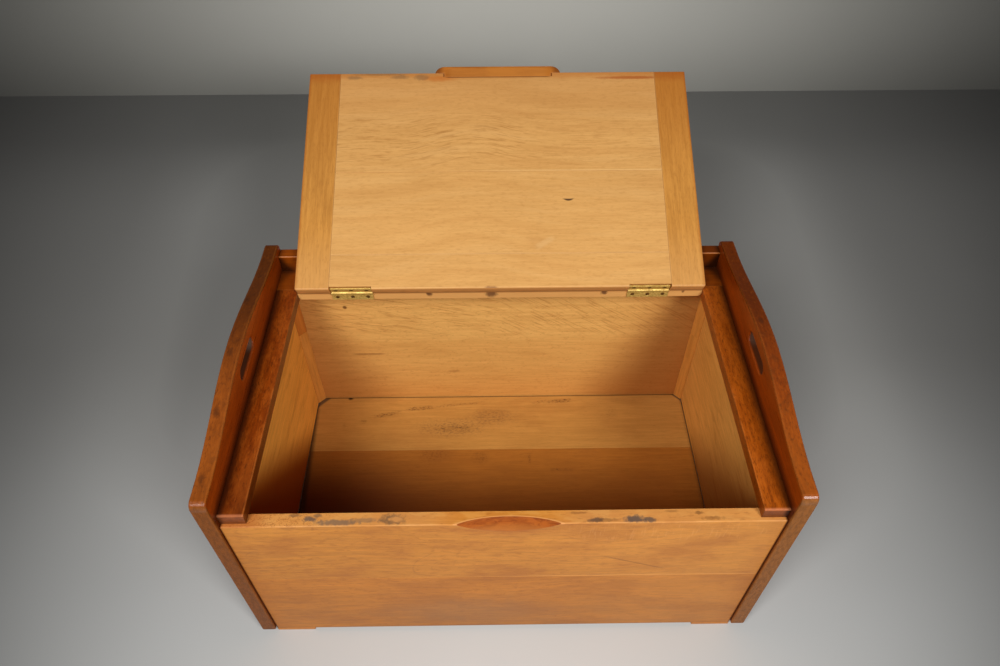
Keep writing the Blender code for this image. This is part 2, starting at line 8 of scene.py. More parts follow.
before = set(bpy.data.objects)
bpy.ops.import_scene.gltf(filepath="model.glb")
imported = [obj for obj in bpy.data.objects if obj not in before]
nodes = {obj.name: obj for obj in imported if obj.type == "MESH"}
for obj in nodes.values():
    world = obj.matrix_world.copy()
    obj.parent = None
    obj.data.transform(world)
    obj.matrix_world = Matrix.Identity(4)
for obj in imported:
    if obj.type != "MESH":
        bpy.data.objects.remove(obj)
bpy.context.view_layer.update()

# Faces and levels of the chest, in metres, as the solids have them
PIN = (0.0, 0.1884, 0.4143)
OPENING = math.radians(154.695)
END_INNER = 0.4135
END_HALF = 0.012
DEPTH_HALF = 0.2745
FRONT_SHOULDER = 0.4595
REAR_SHOULDER = 0.4635
CREST = 0.4915
HUMP_HALF = 0.250
SLOT = (-0.003, 0.456)
SLOT_REACH = (0.044, 0.013)
FRONT_FACE = -0.269
FRONT_INNER = -0.247
FRONT_TOP = 0.3897
FRONT_JOINT = 0.213
BACK_INNER = 0.252
RAIL_FOOT = 0.402
RAIL_TOP = 0.4475
SHELF_FRONT = 0.1915
LEDGE_FRONT = -0.2635
LEDGE_INNER = 0.375
LEDGE_TOP = 0.412
LID_BOTTOM = 0.390
LID_FRONT = -0.2668
LID_REAR = 0.1907
LID_HALF = 0.373
LID_DEPTH = LID_REAR - LID_FRONT
CLAMP_JOINT = 0.3114
PULL_SEAT_HALF = 0.108
PULL_SEAT_DEPTH = 0.009
BLOCK_LEG = 0.0145
SCOOP_CENTRE = (0.006, -0.2861, 0.4170)
SCOOP_RADII = (0.1089, 0.0342, 0.0546)

# Gloss of the woods where a piece names none, and the relief of grain, pores and dents
PLAIN_SHINE = 0.28
RELIEF_STRENGTH = 0.22
RELIEF_DEPTH = 0.0005
DENT_DEPTH = 3.0


def rgb(red, green, blue):
    """A colour from its eight-bit display values."""
    def linear(value):
        value /= 255
        return value / 12.92 if value <= 0.04045 else ((value + 0.055) / 1.055) ** 2.4
    return (linear(red), linear(green), linear(blue), 1.0)


class Paint:
    """A material's node tree, with short ways to add to it."""

    def __init__(self, name):
        self.material = bpy.data.materials.new(name)
        self.material.use_nodes = True
        self.tree = self.material.node_tree
        self.shader = self.tree.nodes["Principled BSDF"]
        self.place = None

    def add(self, kind, **values):
        node = self.tree.nodes.new(kind)
        for key, value in values.items():
            setattr(node, key, value)
        return node

    def feed(self, socket, value):
        if isinstance(value, bpy.types.NodeSocket):
            self.tree.links.new(value, socket)
        elif value is not None:
            socket.default_value = value

    def math(self, operation, a, b=None, c=None):
        node = self.add("ShaderNodeMath", operation=operation)
        for socket, value in zip(node.inputs, (a, b, c)):
            self.feed(socket, value)
        return node.outputs[0]

    def plus(self, a, b):
        return self.math("ADD", a, b)

    def minus(self, a, b):
        return self.math("SUBTRACT", a, b)

    def times(self, a, b, *more):
        product = self.math("MULTIPLY", a, b)
        for value in more:
            product = self.math("MULTIPLY", product, value)
        return product

    def least(self, a, b):
        return self.math("MINIMUM", a, b)

    def most(self, a, b):
        return self.math("MAXIMUM", a, b)

    def size(self, a):
        return self.math("ABSOLUTE", a)

    def step(self, value, low, high):
        """Eases from 0 at low to 1 at high; with low above high it falls instead."""
        node = self.add("ShaderNodeMapRange", interpolation_type="SMOOTHSTEP")
        if low > high:
            low, high = high, low
            node.inputs["To Min"].default_value = 1.0
            node.inputs["To Max"].default_value = 0.0
        self.feed(node.inputs["Value"], value)
        node.inputs["From Min"].default_value = low
        node.inputs["From Max"].default_value = high
        return node.outputs["Result"]

    def band(self, value, low, high, soft):
        """1 between two values, with eased ends."""
        rise = self.step(value, low - soft, low + soft)
        return self.times(rise, self.step(value, high + soft, high - soft))

    def mix(self, factor, a, b):
        node = self.add("ShaderNodeMix", data_type="RGBA")
        self.feed(node.inputs[0], factor)
        self.feed(node.inputs[6], a)
        self.feed(node.inputs[7], b)
        return node.outputs[2]

    def lay(self, colour, mask, weight, over):
        """Lays one colour over another where the mask is, as strongly as its weight."""
        return self.mix(self.times(mask, weight), colour, over)

    def noise(self, vector, scale, detail=2.0, rough=0.5, warp=0.0):
        node = self.add("ShaderNodeTexNoise")
        self.feed(node.inputs["Vector"], vector)
        node.inputs["Scale"].default_value = scale
        node.inputs["Detail"].default_value = detail
        node.inputs["Roughness"].default_value = rough
        node.inputs["Distortion"].default_value = warp
        return node.outputs[0]

    def point(self, on_lid=False):
        """Where a point lies on the chest, or on the lid as it lies shut."""
        socket = self.add("ShaderNodeTexCoord").outputs["Object"]
        if on_lid:
            turn = self.add("ShaderNodeVectorRotate", rotation_type="X_AXIS")
            self.feed(turn.inputs["Vector"], socket)
            turn.inputs["Center"].default_value = PIN
            turn.inputs["Angle"].default_value = OPENING
            socket = turn.outputs[0]
        self.place = socket
        split = self.add("ShaderNodeSeparateXYZ")
        self.feed(split.inputs[0], socket)
        return split.outputs

    def join(self, x, y, z):
        node = self.add("ShaderNodeCombineXYZ")
        for socket, value in zip(node.inputs, (x, y, z)):
            self.feed(socket, value)
        return node.outputs[0]

    def stretch(self, scale, shift=(0, 0, 0), vector=None):
        node = self.add("ShaderNodeMapping")
        self.feed(node.inputs["Vector"], vector or self.place)
        node.inputs["Location"].default_value = shift
        node.inputs["Scale"].default_value = scale
        return node.outputs[0]

    def spot(self, u, v, centre, radii, soft=0.35, ragged=0.0, scale=120):
        """A soft-edged oval patch, its edge broken up where it is ragged."""
        a = self.times(self.minus(u, centre[0]), 1 / radii[0])
        b = self.times(self.minus(v, centre[1]), 1 / radii[1])
        reach = self.math("SQRT", self.plus(self.times(a, a), self.times(b, b)))
        if ragged:
            grit = self.minus(self.noise(self.place, scale, 3, 0.6), 0.5)
            reach = self.plus(reach, self.times(grit, ragged * 4))
        return self.step(reach, 1 + soft, 1 - soft)

    def dash(self, u, v, start, stop, width, ragged=0.0, scale=160):
        """A stroke from one point to another, thinning out at both ends."""
        du, dv = stop[0] - start[0], stop[1] - start[1]
        length = math.hypot(du, dv)
        du, dv = du / length, dv / length
        a, b = self.minus(u, start[0]), self.minus(v, start[1])
        along = self.times(self.plus(self.times(a, du), self.times(b, dv)), 1 / length)
        across = self.size(self.minus(self.times(b, du), self.times(a, dv)))
        if ragged:
            grit = self.minus(self.noise(self.place, scale, 3, 0.6), 0.5)
            across = self.plus(across, self.times(grit, ragged * 4 * width))
        ends = self.times(self.step(along, -0.05, 0.25), self.step(along, 1.05, 0.75))
        return self.times(self.step(across, width * 1.5, width * 0.3), ends)


# The finishes: mean display colour, contrast of the figure, weight of the pores, and roughness
FINISH = {
    "pale": ((228, 171, 99), 0.070, 0.18, 0.50),
    "clamp": ((208, 143, 64), 0.16, 0.30, 0.46),
    "honey": ((206, 134, 54), 0.13, 0.26, 0.40),
    "honey_low": ((198, 124, 49), 0.13, 0.26, 0.43),
    "stain": ((160, 66, 5), 0.24, 0.50, 0.30),
    "edge_left": ((136, 67, 15), 0.28, 0.60, 0.32),
    "edge_right": ((138, 60, 8), 0.28, 0.60, 0.32),
    # The left ledge's finish is darker than the right's as painted shade
    "ledge_left": ((132, 55, 4), 0.26, 0.60, 0.32),
    "ledge_right": ((168, 81, 11), 0.26, 0.60, 0.34),
    "rail": ((142, 66, 6), 0.20, 0.45, 0.36),
    "inside": ((240, 185, 104), 0.09, 0.22, 0.58),
    "wall_left": ((240, 170, 74), 0.11, 0.26, 0.58),
    "wall_right": ((240, 180, 92), 0.11, 0.26, 0.58),
    "floor": ((197, 142, 69), 0.10, 0.26, 0.58),
    "floor_worn": ((174, 109, 38), 0.12, 0.30, 0.58),
    # The front floor board's finish is darker as painted shade: it lies in the front boards' shadow
    "floor_front": ((126, 57, 4), 0.12, 0.30, 0.58),
    "block": ((198, 118, 44), 0.14, 0.25, 0.54),
    "block_right": ((214, 142, 62), 0.14, 0.22, 0.54),
    "outside": ((182, 106, 38), 0.18, 0.35, 0.38),
}
# How far red, green and blue move with the figure, and what the pores leave of them
TONE_PULL = (1.0, 1.2, 1.5)
PORE_PULL = (0.42, 0.34, 0.28)


def rough_of(finish):
    """A finish's roughness, the last of its values."""
    return FINISH[finish][-1]


class Wood(Paint):
    """Oak with its grain along one axis of the chest; finishes are laid over the same figure."""

    def __init__(self, name, grain, seed, on_lid=False, warp=None):
        super().__init__(name)
        self.x, self.y, self.z = self.point(on_lid)
        shift = (seed * 0.37 % 3.1, seed * 0.73 % 2.7, seed * 0.19 % 3.7)
        body = warp(self) if warp else self.place

        def along(amount):
            scale = [1.0, 1.0, 1.0]
            scale[grain] = amount
            return self.stretch(scale, shift, body)

        self.broad = self.noise(along(0.30), 9.0, 2, 0.5)
        self.streak = self.noise(along(0.060), 170.0, 4, 0.66, 0.15)
        self.fine = self.noise(along(0.030), 430.0, 3, 0.6)
        self.pores = self.step(self.noise(along(0.06), 1000.0, 2, 0.5), 0.58, 0.70)
        tone = self.plus(self.times(self.streak, 1.0), self.times(self.broad, 0.6))
        self.tone = self.step(self.plus(tone, self.times(self.fine, 0.4)), 0.72, 1.28)

    def finish(self, name):
        """A finish over the figure: lighter and darker wood, with its pores darkest."""
        colour, spread, pores, _ = FINISH[name]
        base = rgb(*colour)[:3]
        light = [min(1.0, value * (1 + spread * pull)) for value, pull in zip(base, TONE_PULL)] + [1.0]
        dark = [value * (1 - spread * pull) for value, pull in zip(base, TONE_PULL)] + [1.0]
        deep = [value * pull for value, pull in zip(base, PORE_PULL)] + [1.0]
        return self.lay(self.mix(self.tone, dark, light), self.pores, pores, deep)

    def done(self, colour, rough, dents=None, shine=PLAIN_SHINE):
        """Wires the colour, a roughness that follows the grain, and a shallow relief of pores and streaks."""
        self.feed(self.shader.inputs["Base Color"], colour)
        gloss = self.shader.inputs["Specular IOR Level"]
        gloss.default_value = PLAIN_SHINE
        self.feed(gloss, shine)
        grain = self.plus(self.times(self.streak, 0.20), self.times(self.pores, 0.10))
        self.feed(self.shader.inputs["Roughness"], self.plus(self.minus(grain, 0.10), rough))
        relief = self.minus(self.times(self.streak, 0.5), self.times(self.pores, 0.5))
        relief = self.plus(relief, self.times(self.fine, 0.3))
        if dents is not None:
            relief = self.minus(relief, self.times(dents, DENT_DEPTH))
        bump = self.add("ShaderNodeBump")
        bump.inputs["Strength"].default_value = RELIEF_STRENGTH
        bump.inputs["Distance"].default_value = RELIEF_DEPTH
        self.feed(bump.inputs["Height"], relief)
        self.feed(self.shader.inputs["Normal"], bump.outputs[0])
        return self.material


def dress(name, material):
    item = nodes[name]
    item.data.materials.clear()
    item.data.materials.append(material)


# What differs between the end panels: colours, light on the edges, painted shade and light in the hand slot,
# the painted shade low inside, knocks on top
END_LOOKS = {
    -1: {
        "hand": "left", "brow": (134, 74, 24), "rear": (78, 35, 4), "slot": (62, 42, 30),
        "slot_light": 0.34, "fore_light": 0.16,
        "gloom": 0.92, "gloom_reach": (-0.115, 0.018), "gloom_colour": (130, 52, 2),
        "knocks": ((-0.4285, -0.2300), (-0.4285, -0.1250), (-0.4285, -0.0200), (-0.4310, 0.1050)),
    },
    1: {
        "hand": "right", "brow": (149, 91, 40), "rear": (96, 38, 2), "slot": (66, 40, 25),
        "slot_light": 0.16, "fore_light": 0.34,
        "gloom": 0.74, "gloom_reach": (-0.14, 0.06), "gloom_colour": (106, 37, 1),
        "knocks": ((0.4245, 0.0375),),
    },
}
# The slanting upper limit of the shade inside: its height at the middle and its fall towards the back
GLOOM_LINE = (0.113, 1.117)


# End panels: stained, browner on their sawn edges, and bare inside the box, with painted shade and highlights
def end_panel(name, side, seed):
    look = END_LOOKS[side]
    wood = Wood(name, 1, seed)
    half = wood.times(wood.least(wood.size(wood.y), HUMP_HALF), math.pi / HUMP_HALF)
    swell = wood.plus(wood.times(wood.math("COSINE", half), 0.5), 0.5)
    rear = wood.step(wood.y, -0.001, 0.001)
    shoulder = wood.plus(wood.times(rear, REAR_SHOULDER - FRONT_SHOULDER), FRONT_SHOULDER)
    crest = wood.plus(shoulder, wood.times(swell, wood.minus(CREST, shoulder)))
    drop = wood.minus(crest, wood.z)
    ahead = wood.plus(wood.y, DEPTH_HALF)
    rim = wood.least(drop, ahead)
    face = wood.minus(END_HALF, wood.size(wood.minus(wood.x, side * (END_INNER + END_HALF))))
    inward = wood.step(wood.times(wood.x, side), END_INNER + 0.005, END_INNER + 0.001)

    stain = wood.finish("stain")
    clouds = wood.step(wood.noise(wood.stretch((1, 0.30, 1), (seed, 2, 0)), 38.0, 4, 0.6), 0.42, 0.66)
    stain = wood.lay(stain, clouds, 0.35, rgb(112, 42, 4))
    # Darker on the inner face just above the ledge: dirt and painted shade in the corner
    seam = wood.times(wood.step(wood.z, LEDGE_TOP + 0.022, LEDGE_TOP + 0.001), inward)
    stain = wood.lay(stain, seam, 0.75, rgb(62, 20, 3))
    edge = wood.finish("edge_" + look["hand"])
    mottle = wood.step(wood.noise(wood.stretch((1, 0.45, 1), (seed, 0, 0)), 95.0, 3, 0.6), 0.50, 0.66)
    edge = wood.lay(edge, mottle, 0.50, rgb(100, 48, 12))
    edge = wood.lay(edge, wood.step(wood.y, -0.14, 0.12), 0.80, rgb(*look["rear"]))
    edge = wood.lay(edge, wood.step(wood.y, -0.06, -0.24), look["fore_light"], rgb(178, 98, 28))
    grit = wood.noise(wood.stretch((1, 0.5, 1), (0, seed, 3)), 270.0, 3, 0.6)
    edge = wood.lay(edge, wood.step(grit, 0.54, 0.68), 0.36, rgb(66, 30, 8))
    edge = wood.lay(edge, wood.step(grit, 0.44, 0.30), 0.16, rgb(184, 100, 32))
    stain = wood.lay(stain, wood.step(grit, 0.55, 0.68), 0.30, rgb(84, 28, 2))
    for knock in look["knocks"]:
        dent = wood.spot(wood.x, wood.y, knock, (0.0042, 0.0075), 0.6, 0.35, 200)
        edge = wood.lay(edge, dent, 0.55, rgb(66, 32, 12))
    brow = wood.mix(wood.step(wood.noise(wood.stretch((1, 1, 0.3)), 240.0, 3, 0.6), 0.35, 0.65),
                    rgb(*[value * 0.86 for value in look["brow"]]), rgb(*look["brow"]))
    top = wood.step(drop, 0.0050, 0.0020)
    front = wood.step(ahead, 0.0050, 0.0020)
    colour = wood.mix(front, wood.mix(top, stain, edge), brow)
    # Lighter along the arrises: wear and a painted highlight
    arris = wood.step(wood.most(rim, face), 0.0040, 0.0006)
    rubbed = wood.times(arris, wood.step(wood.broad, 0.34, 0.58))
    colour = wood.lay(colour, rubbed, 0.16, rgb(196, 112, 44))
    # Painted highlight across the rounded front corner of the top edge
    corner = wood.step(wood.plus(drop, ahead), 0.0066, 0.0040)
    colour = wood.lay(colour, corner, 0.28, rgb(204, 152, 118))
    # Painted shade inside the hand slot, with painted light towards its rear end
    through = wood.times(wood.band(wood.y, SLOT[0] - SLOT_REACH[0], SLOT[0] + SLOT_REACH[0], 0.002),
                         wood.band(wood.z, SLOT[1] - SLOT_REACH[1], SLOT[1] + SLOT_REACH[1], 0.002))
    lit = wood.times(wood.step(wood.y, SLOT[0] + 0.018, SLOT[0] + 0.036), look["slot_light"])
    hole = wood.mix(lit, rgb(*look["slot"]), rgb(150, 132, 116))
    bore = wood.times(through, wood.step(face, 0.0010, 0.0045))
    colour = wood.lay(colour, bore, 0.85, hole)

    bare = wood.finish("wall_" + look["hand"])
    figure = wood.noise(wood.stretch((1, 0.22, 1), (0, seed, 0)), 48.0, 5, 0.65, 0.6)
    bare = wood.lay(bare, wood.step(figure, 0.50, 0.70), 0.28, rgb(160, 92, 34))
    # Painted shadow of the front boards, low inside below a slanting line
    low = wood.minus(wood.minus(GLOOM_LINE[0], wood.times(wood.y, GLOOM_LINE[1])), wood.z)
    bare = wood.lay(bare, wood.step(low, *look["gloom_reach"]), look["gloom"], rgb(*look["gloom_colour"]))
    within = wood.times(wood.step(wood.size(wood.y), BACK_INNER + 0.0005, BACK_INNER - 0.0005),
                        wood.step(wood.z, LID_BOTTOM + 0.001, LID_BOTTOM - 0.001))
    inner = wood.times(inward, within)
    rough = wood.plus(wood.times(inner, rough_of("inside") - rough_of("stain")), rough_of("stain"))
    rough = wood.minus(rough, wood.times(wood.step(rim, 0.004, 0.001), 0.06))
    plumb = wood.times(front, wood.step(drop, 0.010, 0.018))
    shine = wood.minus(0.42, wood.times(wood.most(plumb, inner), 0.36))
    shine = wood.minus(shine, wood.times(top, wood.step(wood.y, -0.08, 0.12), 0.26))
    shine = wood.minus(shine, wood.times(bore, 0.16))
    dress(name, wood.done(wood.mix(inner, colour, bare), rough, None, shine))


end_panel("left_end_panel", -1, 3)
end_panel("right_end_panel", 1, 8)


# Stains on the front's top edge: place, half lengths, weight and colour
FRONT_STAINS = (
    ((-0.2856, -0.2567), (0.0085, 0.0036), 0.80, (88, 78, 72)),
    ((-0.2748, -0.2515), (0.0066, 0.0028), 0.65, (96, 78, 62)),
    ((-0.3070, -0.2508), (0.0095, 0.0022), 0.60, (100, 74, 52)),
    ((-0.2450, -0.2630), (0.0290, 0.0046), 0.72, (108, 92, 78)),
    ((-0.2050, -0.2600), (0.0200, 0.0040), 0.55, (120, 98, 76)),
    ((-0.1640, -0.2590), (0.0165, 0.0080), 0.72, (92, 74, 58)),
    ((0.1329, -0.2640), (0.0110, 0.0038), 0.80, (80, 66, 58)),
    ((0.1490, -0.2640), (0.0140, 0.0030), 0.50, (110, 72, 42)),
    ((0.1900, -0.2630), (0.0150, 0.0054), 0.85, (78, 72, 70)),
    ((0.2118, -0.2640), (0.0085, 0.0042), 0.80, (84, 74, 68)),
    ((0.2856, -0.2540), (0.0062, 0.0026), 0.60, (98, 62, 32)),
    ((0.3027, -0.2630), (0.0160, 0.0026), 0.45, (110, 66, 32)),
    ((0.1060, -0.2520), (0.0120, 0.0018), 0.45, (120, 74, 36)),
    ((0.2450, -0.2510), (0.0090, 0.0018), 0.40, (120, 74, 36)),
)


# Front boards: honey coloured, with stains along the top edge and scuffs low down, painted highlights on the
# top edge, and dirt and painted shade by the end panels
def front_board(name, finish, seed, upper):
    def sway(wood):
        lift = wood.times(wood.noise(wood.stretch((1.1, 0, 0), (seed, 0, 0)), 2.2, 1), 0.10)
        return wood.join(wood.x, wood.y, wood.plus(wood.z, lift))

    wood = Wood(name, 0, seed, warp=sway)
    x, y, z = wood.x, wood.y, wood.z
    colour = wood.finish(finish)
    cloud = wood.noise(wood.stretch((0.45, 1, 1), (1.3, 0, 4.1)), 15.0, 4, 0.6)
    smudge = wood.noise(wood.stretch((0.22, 1, 1), (5.1, 0, 2.3)), 55.0, 3, 0.6)
    threads = wood.noise(wood.stretch((0.07, 1, 1), (3.3, 0, seed), sway(wood)), 210.0, 3, 0.6)
    colour = wood.lay(colour, wood.step(threads, 0.53, 0.70), 0.14, rgb(160, 92, 38))
    curls = wood.noise(wood.stretch((0.35, 1, 1), (8.0, 0, seed)), 130.0, 4, 0.65, 0.8)
    colour = wood.lay(colour, wood.step(curls, 0.48, 0.66), 0.36, rgb(162, 92, 36))
    colour = wood.lay(colour, wood.step(x, 0.02, 0.32), 0.22, rgb(226, 156, 80))
    if upper:
        arcs = wood.noise(wood.stretch((0.55, 1, 1), (0.6, 0, 1.9), sway(wood)), 7.0, 1, 0.4)
        lines = wood.step(wood.size(wood.math("SINE", wood.times(arcs, 13 * math.pi))), 0.22, 0.0)
        left = wood.step(x, 0.02, -0.14)
        lines = wood.times(lines, left, wood.step(smudge, 0.40, 0.62))
        colour = wood.lay(colour, lines, 0.24, rgb(140, 80, 36))
        short = wood.times(wood.step(smudge, 0.60, 0.72), wood.step(x, -0.10, -0.30))
        colour = wood.lay(colour, short, 0.30, rgb(140, 84, 44))
        colour = wood.lay(colour, wood.step(cloud, 0.46, 0.66), 0.48, rgb(168, 96, 40))
        comb = wood.step(wood.noise(wood.stretch((1, 1, 0.12), (2, 0, 0)), 330.0, 2, 0.5), 0.56, 0.66)
        comb = wood.times(comb, wood.band(z, 0.335, 0.385, 0.012), wood.step(x, 0.06, 0.16))
        colour = wood.lay(colour, comb, 0.16, rgb(240, 178, 112))
        scratch = wood.dash(x, z, (0.150, 0.2850), (0.262, 0.2345), 0.0016)
        colour = wood.lay(colour, scratch, 0.50, rgb(132, 78, 40))
        joint = wood.times(wood.step(z, FRONT_JOINT + 0.0045, FRONT_JOINT + 0.0010),
                           wood.step(x, -0.10, 0.10))
        colour = wood.lay(colour, joint, 0.45, rgb(238, 172, 100))
        top = wood.step(z, FRONT_TOP - 0.0018, FRONT_TOP - 0.0005)
        crown = wood.finish("honey")
        crown = wood.lay(crown, wood.step(cloud, 0.42, 0.62), 0.35, rgb(194, 114, 44))
        flow = wood.noise(wood.stretch((0.35, 1, 1), (1.0, 4.0, 0)), 90.0, 3, 0.6)
        crown = wood.lay(crown, wood.step(flow, 0.48, 0.64), 0.45, rgb(222, 158, 78))
        crown = wood.lay(crown, wood.step(wood.size(x), 0.05, 0.13), 0.30, rgb(208, 154, 102))
        bark = wood.noise(wood.stretch((0.55, 1, 1), (7.0, 2.0, 0)), 150.0, 3, 0.6, 1.2)
        bark = wood.step(wood.size(wood.minus(bark, 0.5)), 0.035, 0.008)
        crown = wood.lay(crown, wood.times(bark, wood.step(x, -0.20, -0.33)), 0.62, rgb(140, 74, 28))
        veins = wood.step(wood.noise(wood.stretch((0.30, 1, 1), (7.0, 2.0, 0)), 190.0, 3, 0.6), 0.58, 0.68)
        crown = wood.lay(crown, veins, 0.30, rgb(138, 78, 34))
        for centre, radii, weight, over in FRONT_STAINS:
            crown = wood.lay(crown, wood.spot(x, y, centre, radii, 0.45, 0.5, 170), weight, rgb(*over))
        ring = wood.spot(x, y, (-0.1590, -0.2590), (0.0095, 0.0044), 0.4, 0.4, 170)
        crown = wood.lay(crown, ring, 0.80, rgb(212, 146, 82))
        crown = wood.lay(crown, wood.step(x, -0.335, -0.378), 0.55, rgb(166, 80, 26))
        colour = wood.mix(top, colour, crown)
        # Lighter along the top front arris, broken up: wear and a painted highlight
        nearest = wood.most(wood.minus(y, FRONT_FACE), wood.minus(FRONT_TOP, z))
        arris = wood.step(nearest, 0.0024, 0.0008)
        colour = wood.lay(colour, wood.times(arris, wood.step(smudge, 0.38, 0.60)), 0.36, rgb(234, 172, 110))
        ball = 0.0
        for value, middle, radius in zip((x, y, z), SCOOP_CENTRE, SCOOP_RADII):
            part = wood.times(wood.minus(value, middle), 1 / radius)
            ball = wood.plus(wood.times(part, part), ball)
        fade = wood.spot(x, z, (SCOOP_CENTRE[0], FRONT_TOP - 0.018), (0.062, 0.010), 0.7, 0.3, 200)
        fade = wood.times(fade, wood.step(y, FRONT_FACE + 0.0010, FRONT_FACE + 0.0003))
        colour = wood.lay(colour, fade, 0.42, rgb(170, 88, 34))
        # Painted highlight along the scoop's upper rim
        ridge_highlight = wood.times(wood.band(ball, 1.006, 1.090, 0.012),
                           wood.step(z, FRONT_TOP - 0.0040, FRONT_TOP - 0.0010))
        colour = wood.lay(colour, ridge_highlight, 0.52, rgb(232, 166, 104))
        hollow = wood.step(ball, 1.012, 1.003)
        gouge = wood.mix(wood.step(curls, 0.38, 0.62), rgb(168, 84, 28), rgb(132, 58, 18))
        gouge = wood.lay(gouge, wood.step(z, FRONT_TOP - 0.007, FRONT_TOP - 0.017), 0.75, rgb(172, 102, 44))
        colour = wood.lay(colour, hollow, 0.92, gouge)
    else:
        colour = wood.lay(colour, wood.step(cloud, 0.44, 0.66), 0.40, rgb(158, 92, 42))
        dust = wood.plus(wood.times(wood.step(smudge, 0.40, 0.64), 0.6), 0.4)
        low = wood.times(wood.step(z, 0.19, 0.03), dust)
        colour = wood.lay(colour, low, 0.32, rgb(150, 104, 62))
        grey = wood.spot(x, z, (-0.060, 0.070), (0.120, 0.050), 0.7, 0.25, 30)
        colour = wood.lay(colour, grey, 0.30, rgb(146, 112, 82))
        colour = wood.lay(colour, wood.step(z, 0.016, 0.0085), 0.40, rgb(126, 76, 40))
    side = wood.size(x)
    # Darker towards the end panels and darkest at the joint: dirt and painted shade
    colour = wood.lay(colour, wood.step(side, 0.370, END_INNER), 0.22, rgb(160, 88, 38))
    colour = wood.lay(colour, wood.step(side, END_INNER - 0.0036, END_INNER - 0.0010), 0.80, rgb(84, 36, 14))
    inner = wood.times(wood.step(y, FRONT_INNER - 0.004, FRONT_INNER - 0.001),
                       wood.step(z, FRONT_TOP - 0.001, FRONT_TOP - 0.004))
    colour = wood.mix(inner, colour, wood.finish("floor_worn"))
    dress(name, wood.done(colour, rough_of(finish), shine=0.16))


front_board("front_upper_board", "honey", 12, True)
front_board("front_lower_board", "honey_low", 21, False)


# Back panel: bare inside with ray flecks in its upper half and painted shade, stained rail and outside, a
# painted highlight on the rail
def back_panel(name):
    def fall(wood):
        drop = wood.plus(wood.times(wood.x, 0.25), wood.times(wood.most(wood.x, 0.0), 0.40))
        return wood.join(wood.x, wood.y, wood.plus(wood.z, drop))

    wood = Wood(name, 0, 30)
    x, z = wood.x, wood.z
    bare = wood.finish("inside")
    flecks = wood.noise(wood.stretch((0.085, 1, 1), (0.4, 0, 0), fall(wood)), 300.0, 2, 0.5)
    flecks = wood.times(wood.step(flecks, 0.52, 0.68), wood.step(z, 0.205, 0.250))
    bare = wood.lay(bare, flecks, 0.36, rgb(160, 96, 40))
    grit = wood.step(wood.noise(wood.stretch((0.5, 1, 1), (3, 0, 0)), 240.0, 3, 0.6), 0.54, 0.72)
    bare = wood.lay(bare, grit, 0.26, rgb(160, 96, 40))
    bare = wood.lay(bare, wood.band(z, 0.2135, 0.2150, 0.0015), 0.14, rgb(150, 88, 40))
    bare = wood.lay(bare, wood.step(z, 0.230, 0.190), 0.22, rgb(198, 122, 48))
    # Darker towards the bottom: painted shade
    bare = wood.lay(bare, wood.step(z, 0.160, 0.020), 0.30, rgb(190, 110, 36))
    figure = wood.noise(wood.stretch((0.14, 1, 1), (0, 0, 6.0)), 60.0, 4, 0.6, 0.3)
    bare = wood.lay(bare, wood.step(figure, 0.50, 0.68), 0.14, rgb(172, 104, 44))
    # Painted shadows of the ledges and end panels on both flanks, stronger on the right
    flank_shadow = wood.minus(wood.size(x), wood.plus(wood.times(z, 0.31), 0.248))
    right = wood.step(x, -0.1, 0.1)
    hand = wood.plus(wood.times(right, 0.22), 0.28)
    flank_shadow = wood.plus(flank_shadow, wood.times(right, 0.030))
    bare = wood.lay(bare, wood.step(flank_shadow, -0.09, 0.09), hand, rgb(152, 70, 10))
    knot = wood.spot(x, z, (-0.3108, 0.3116), (0.0040, 0.0045), 0.4, 0.2)
    bare = wood.lay(bare, knot, 0.80, rgb(84, 42, 14))
    scratch = wood.dash(x, z, (-0.318, 0.1678), (-0.240, 0.1685), 0.0030, 0.2)
    bare = wood.lay(bare, scratch, 0.50, rgb(130, 68, 24))
    smear = wood.spot(x, z, (-0.1010, 0.1080), (0.0140, 0.0035), 0.6, 0.3)
    bare = wood.lay(bare, smear, 0.40, rgb(150, 88, 40))
    # Painted shade towards the corners
    bare = wood.lay(bare, wood.step(wood.size(x), 0.36, 0.41), 0.25, rgb(186, 108, 42))
    shell = rail = wood.finish("rail")
    # Darker into the corners by the end panels, most at the rail's foot
    beside = wood.minus(wood.size(x), END_INNER - 0.020)
    below = wood.minus(LEDGE_TOP + 0.028, z)
    corner_darkness = wood.step(wood.plus(beside, wood.times(below, 0.6)), 0.0, 0.022)
    rail = wood.lay(rail, wood.step(x, -0.05, 0.30), 0.72, rgb(80, 30, 2))
    rail = wood.lay(rail, corner_darkness, 0.85, rgb(30, 12, 5))
    # Painted highlight along the rail's top arris
    nose = wood.times(wood.band(z, RAIL_TOP - 0.0022, RAIL_TOP - 0.0004, 0.0006),
                      wood.step(wood.y, BACK_INNER + 0.0030, BACK_INNER + 0.0018))
    rail = wood.lay(rail, nose, 0.46, rgb(222, 138, 68))
    away = wood.times(wood.step(wood.y, BACK_INNER + 0.010, BACK_INNER + 0.014),
                      wood.step(z, RAIL_TOP - 0.002, RAIL_TOP - 0.005))
    rail = wood.mix(away, rail, shell)
    lift = wood.step(z, RAIL_FOOT - 0.002, RAIL_FOOT + 0.002)
    behind = wood.step(wood.y, BACK_INNER + 0.002, BACK_INNER + 0.005)
    outer = wood.most(lift, behind)
    rough = wood.plus(wood.times(outer, -0.22), 0.54)
    dress(name, wood.done(wood.mix(outer, bare, rail), rough, shine=0.14))


back_panel("back_panel")
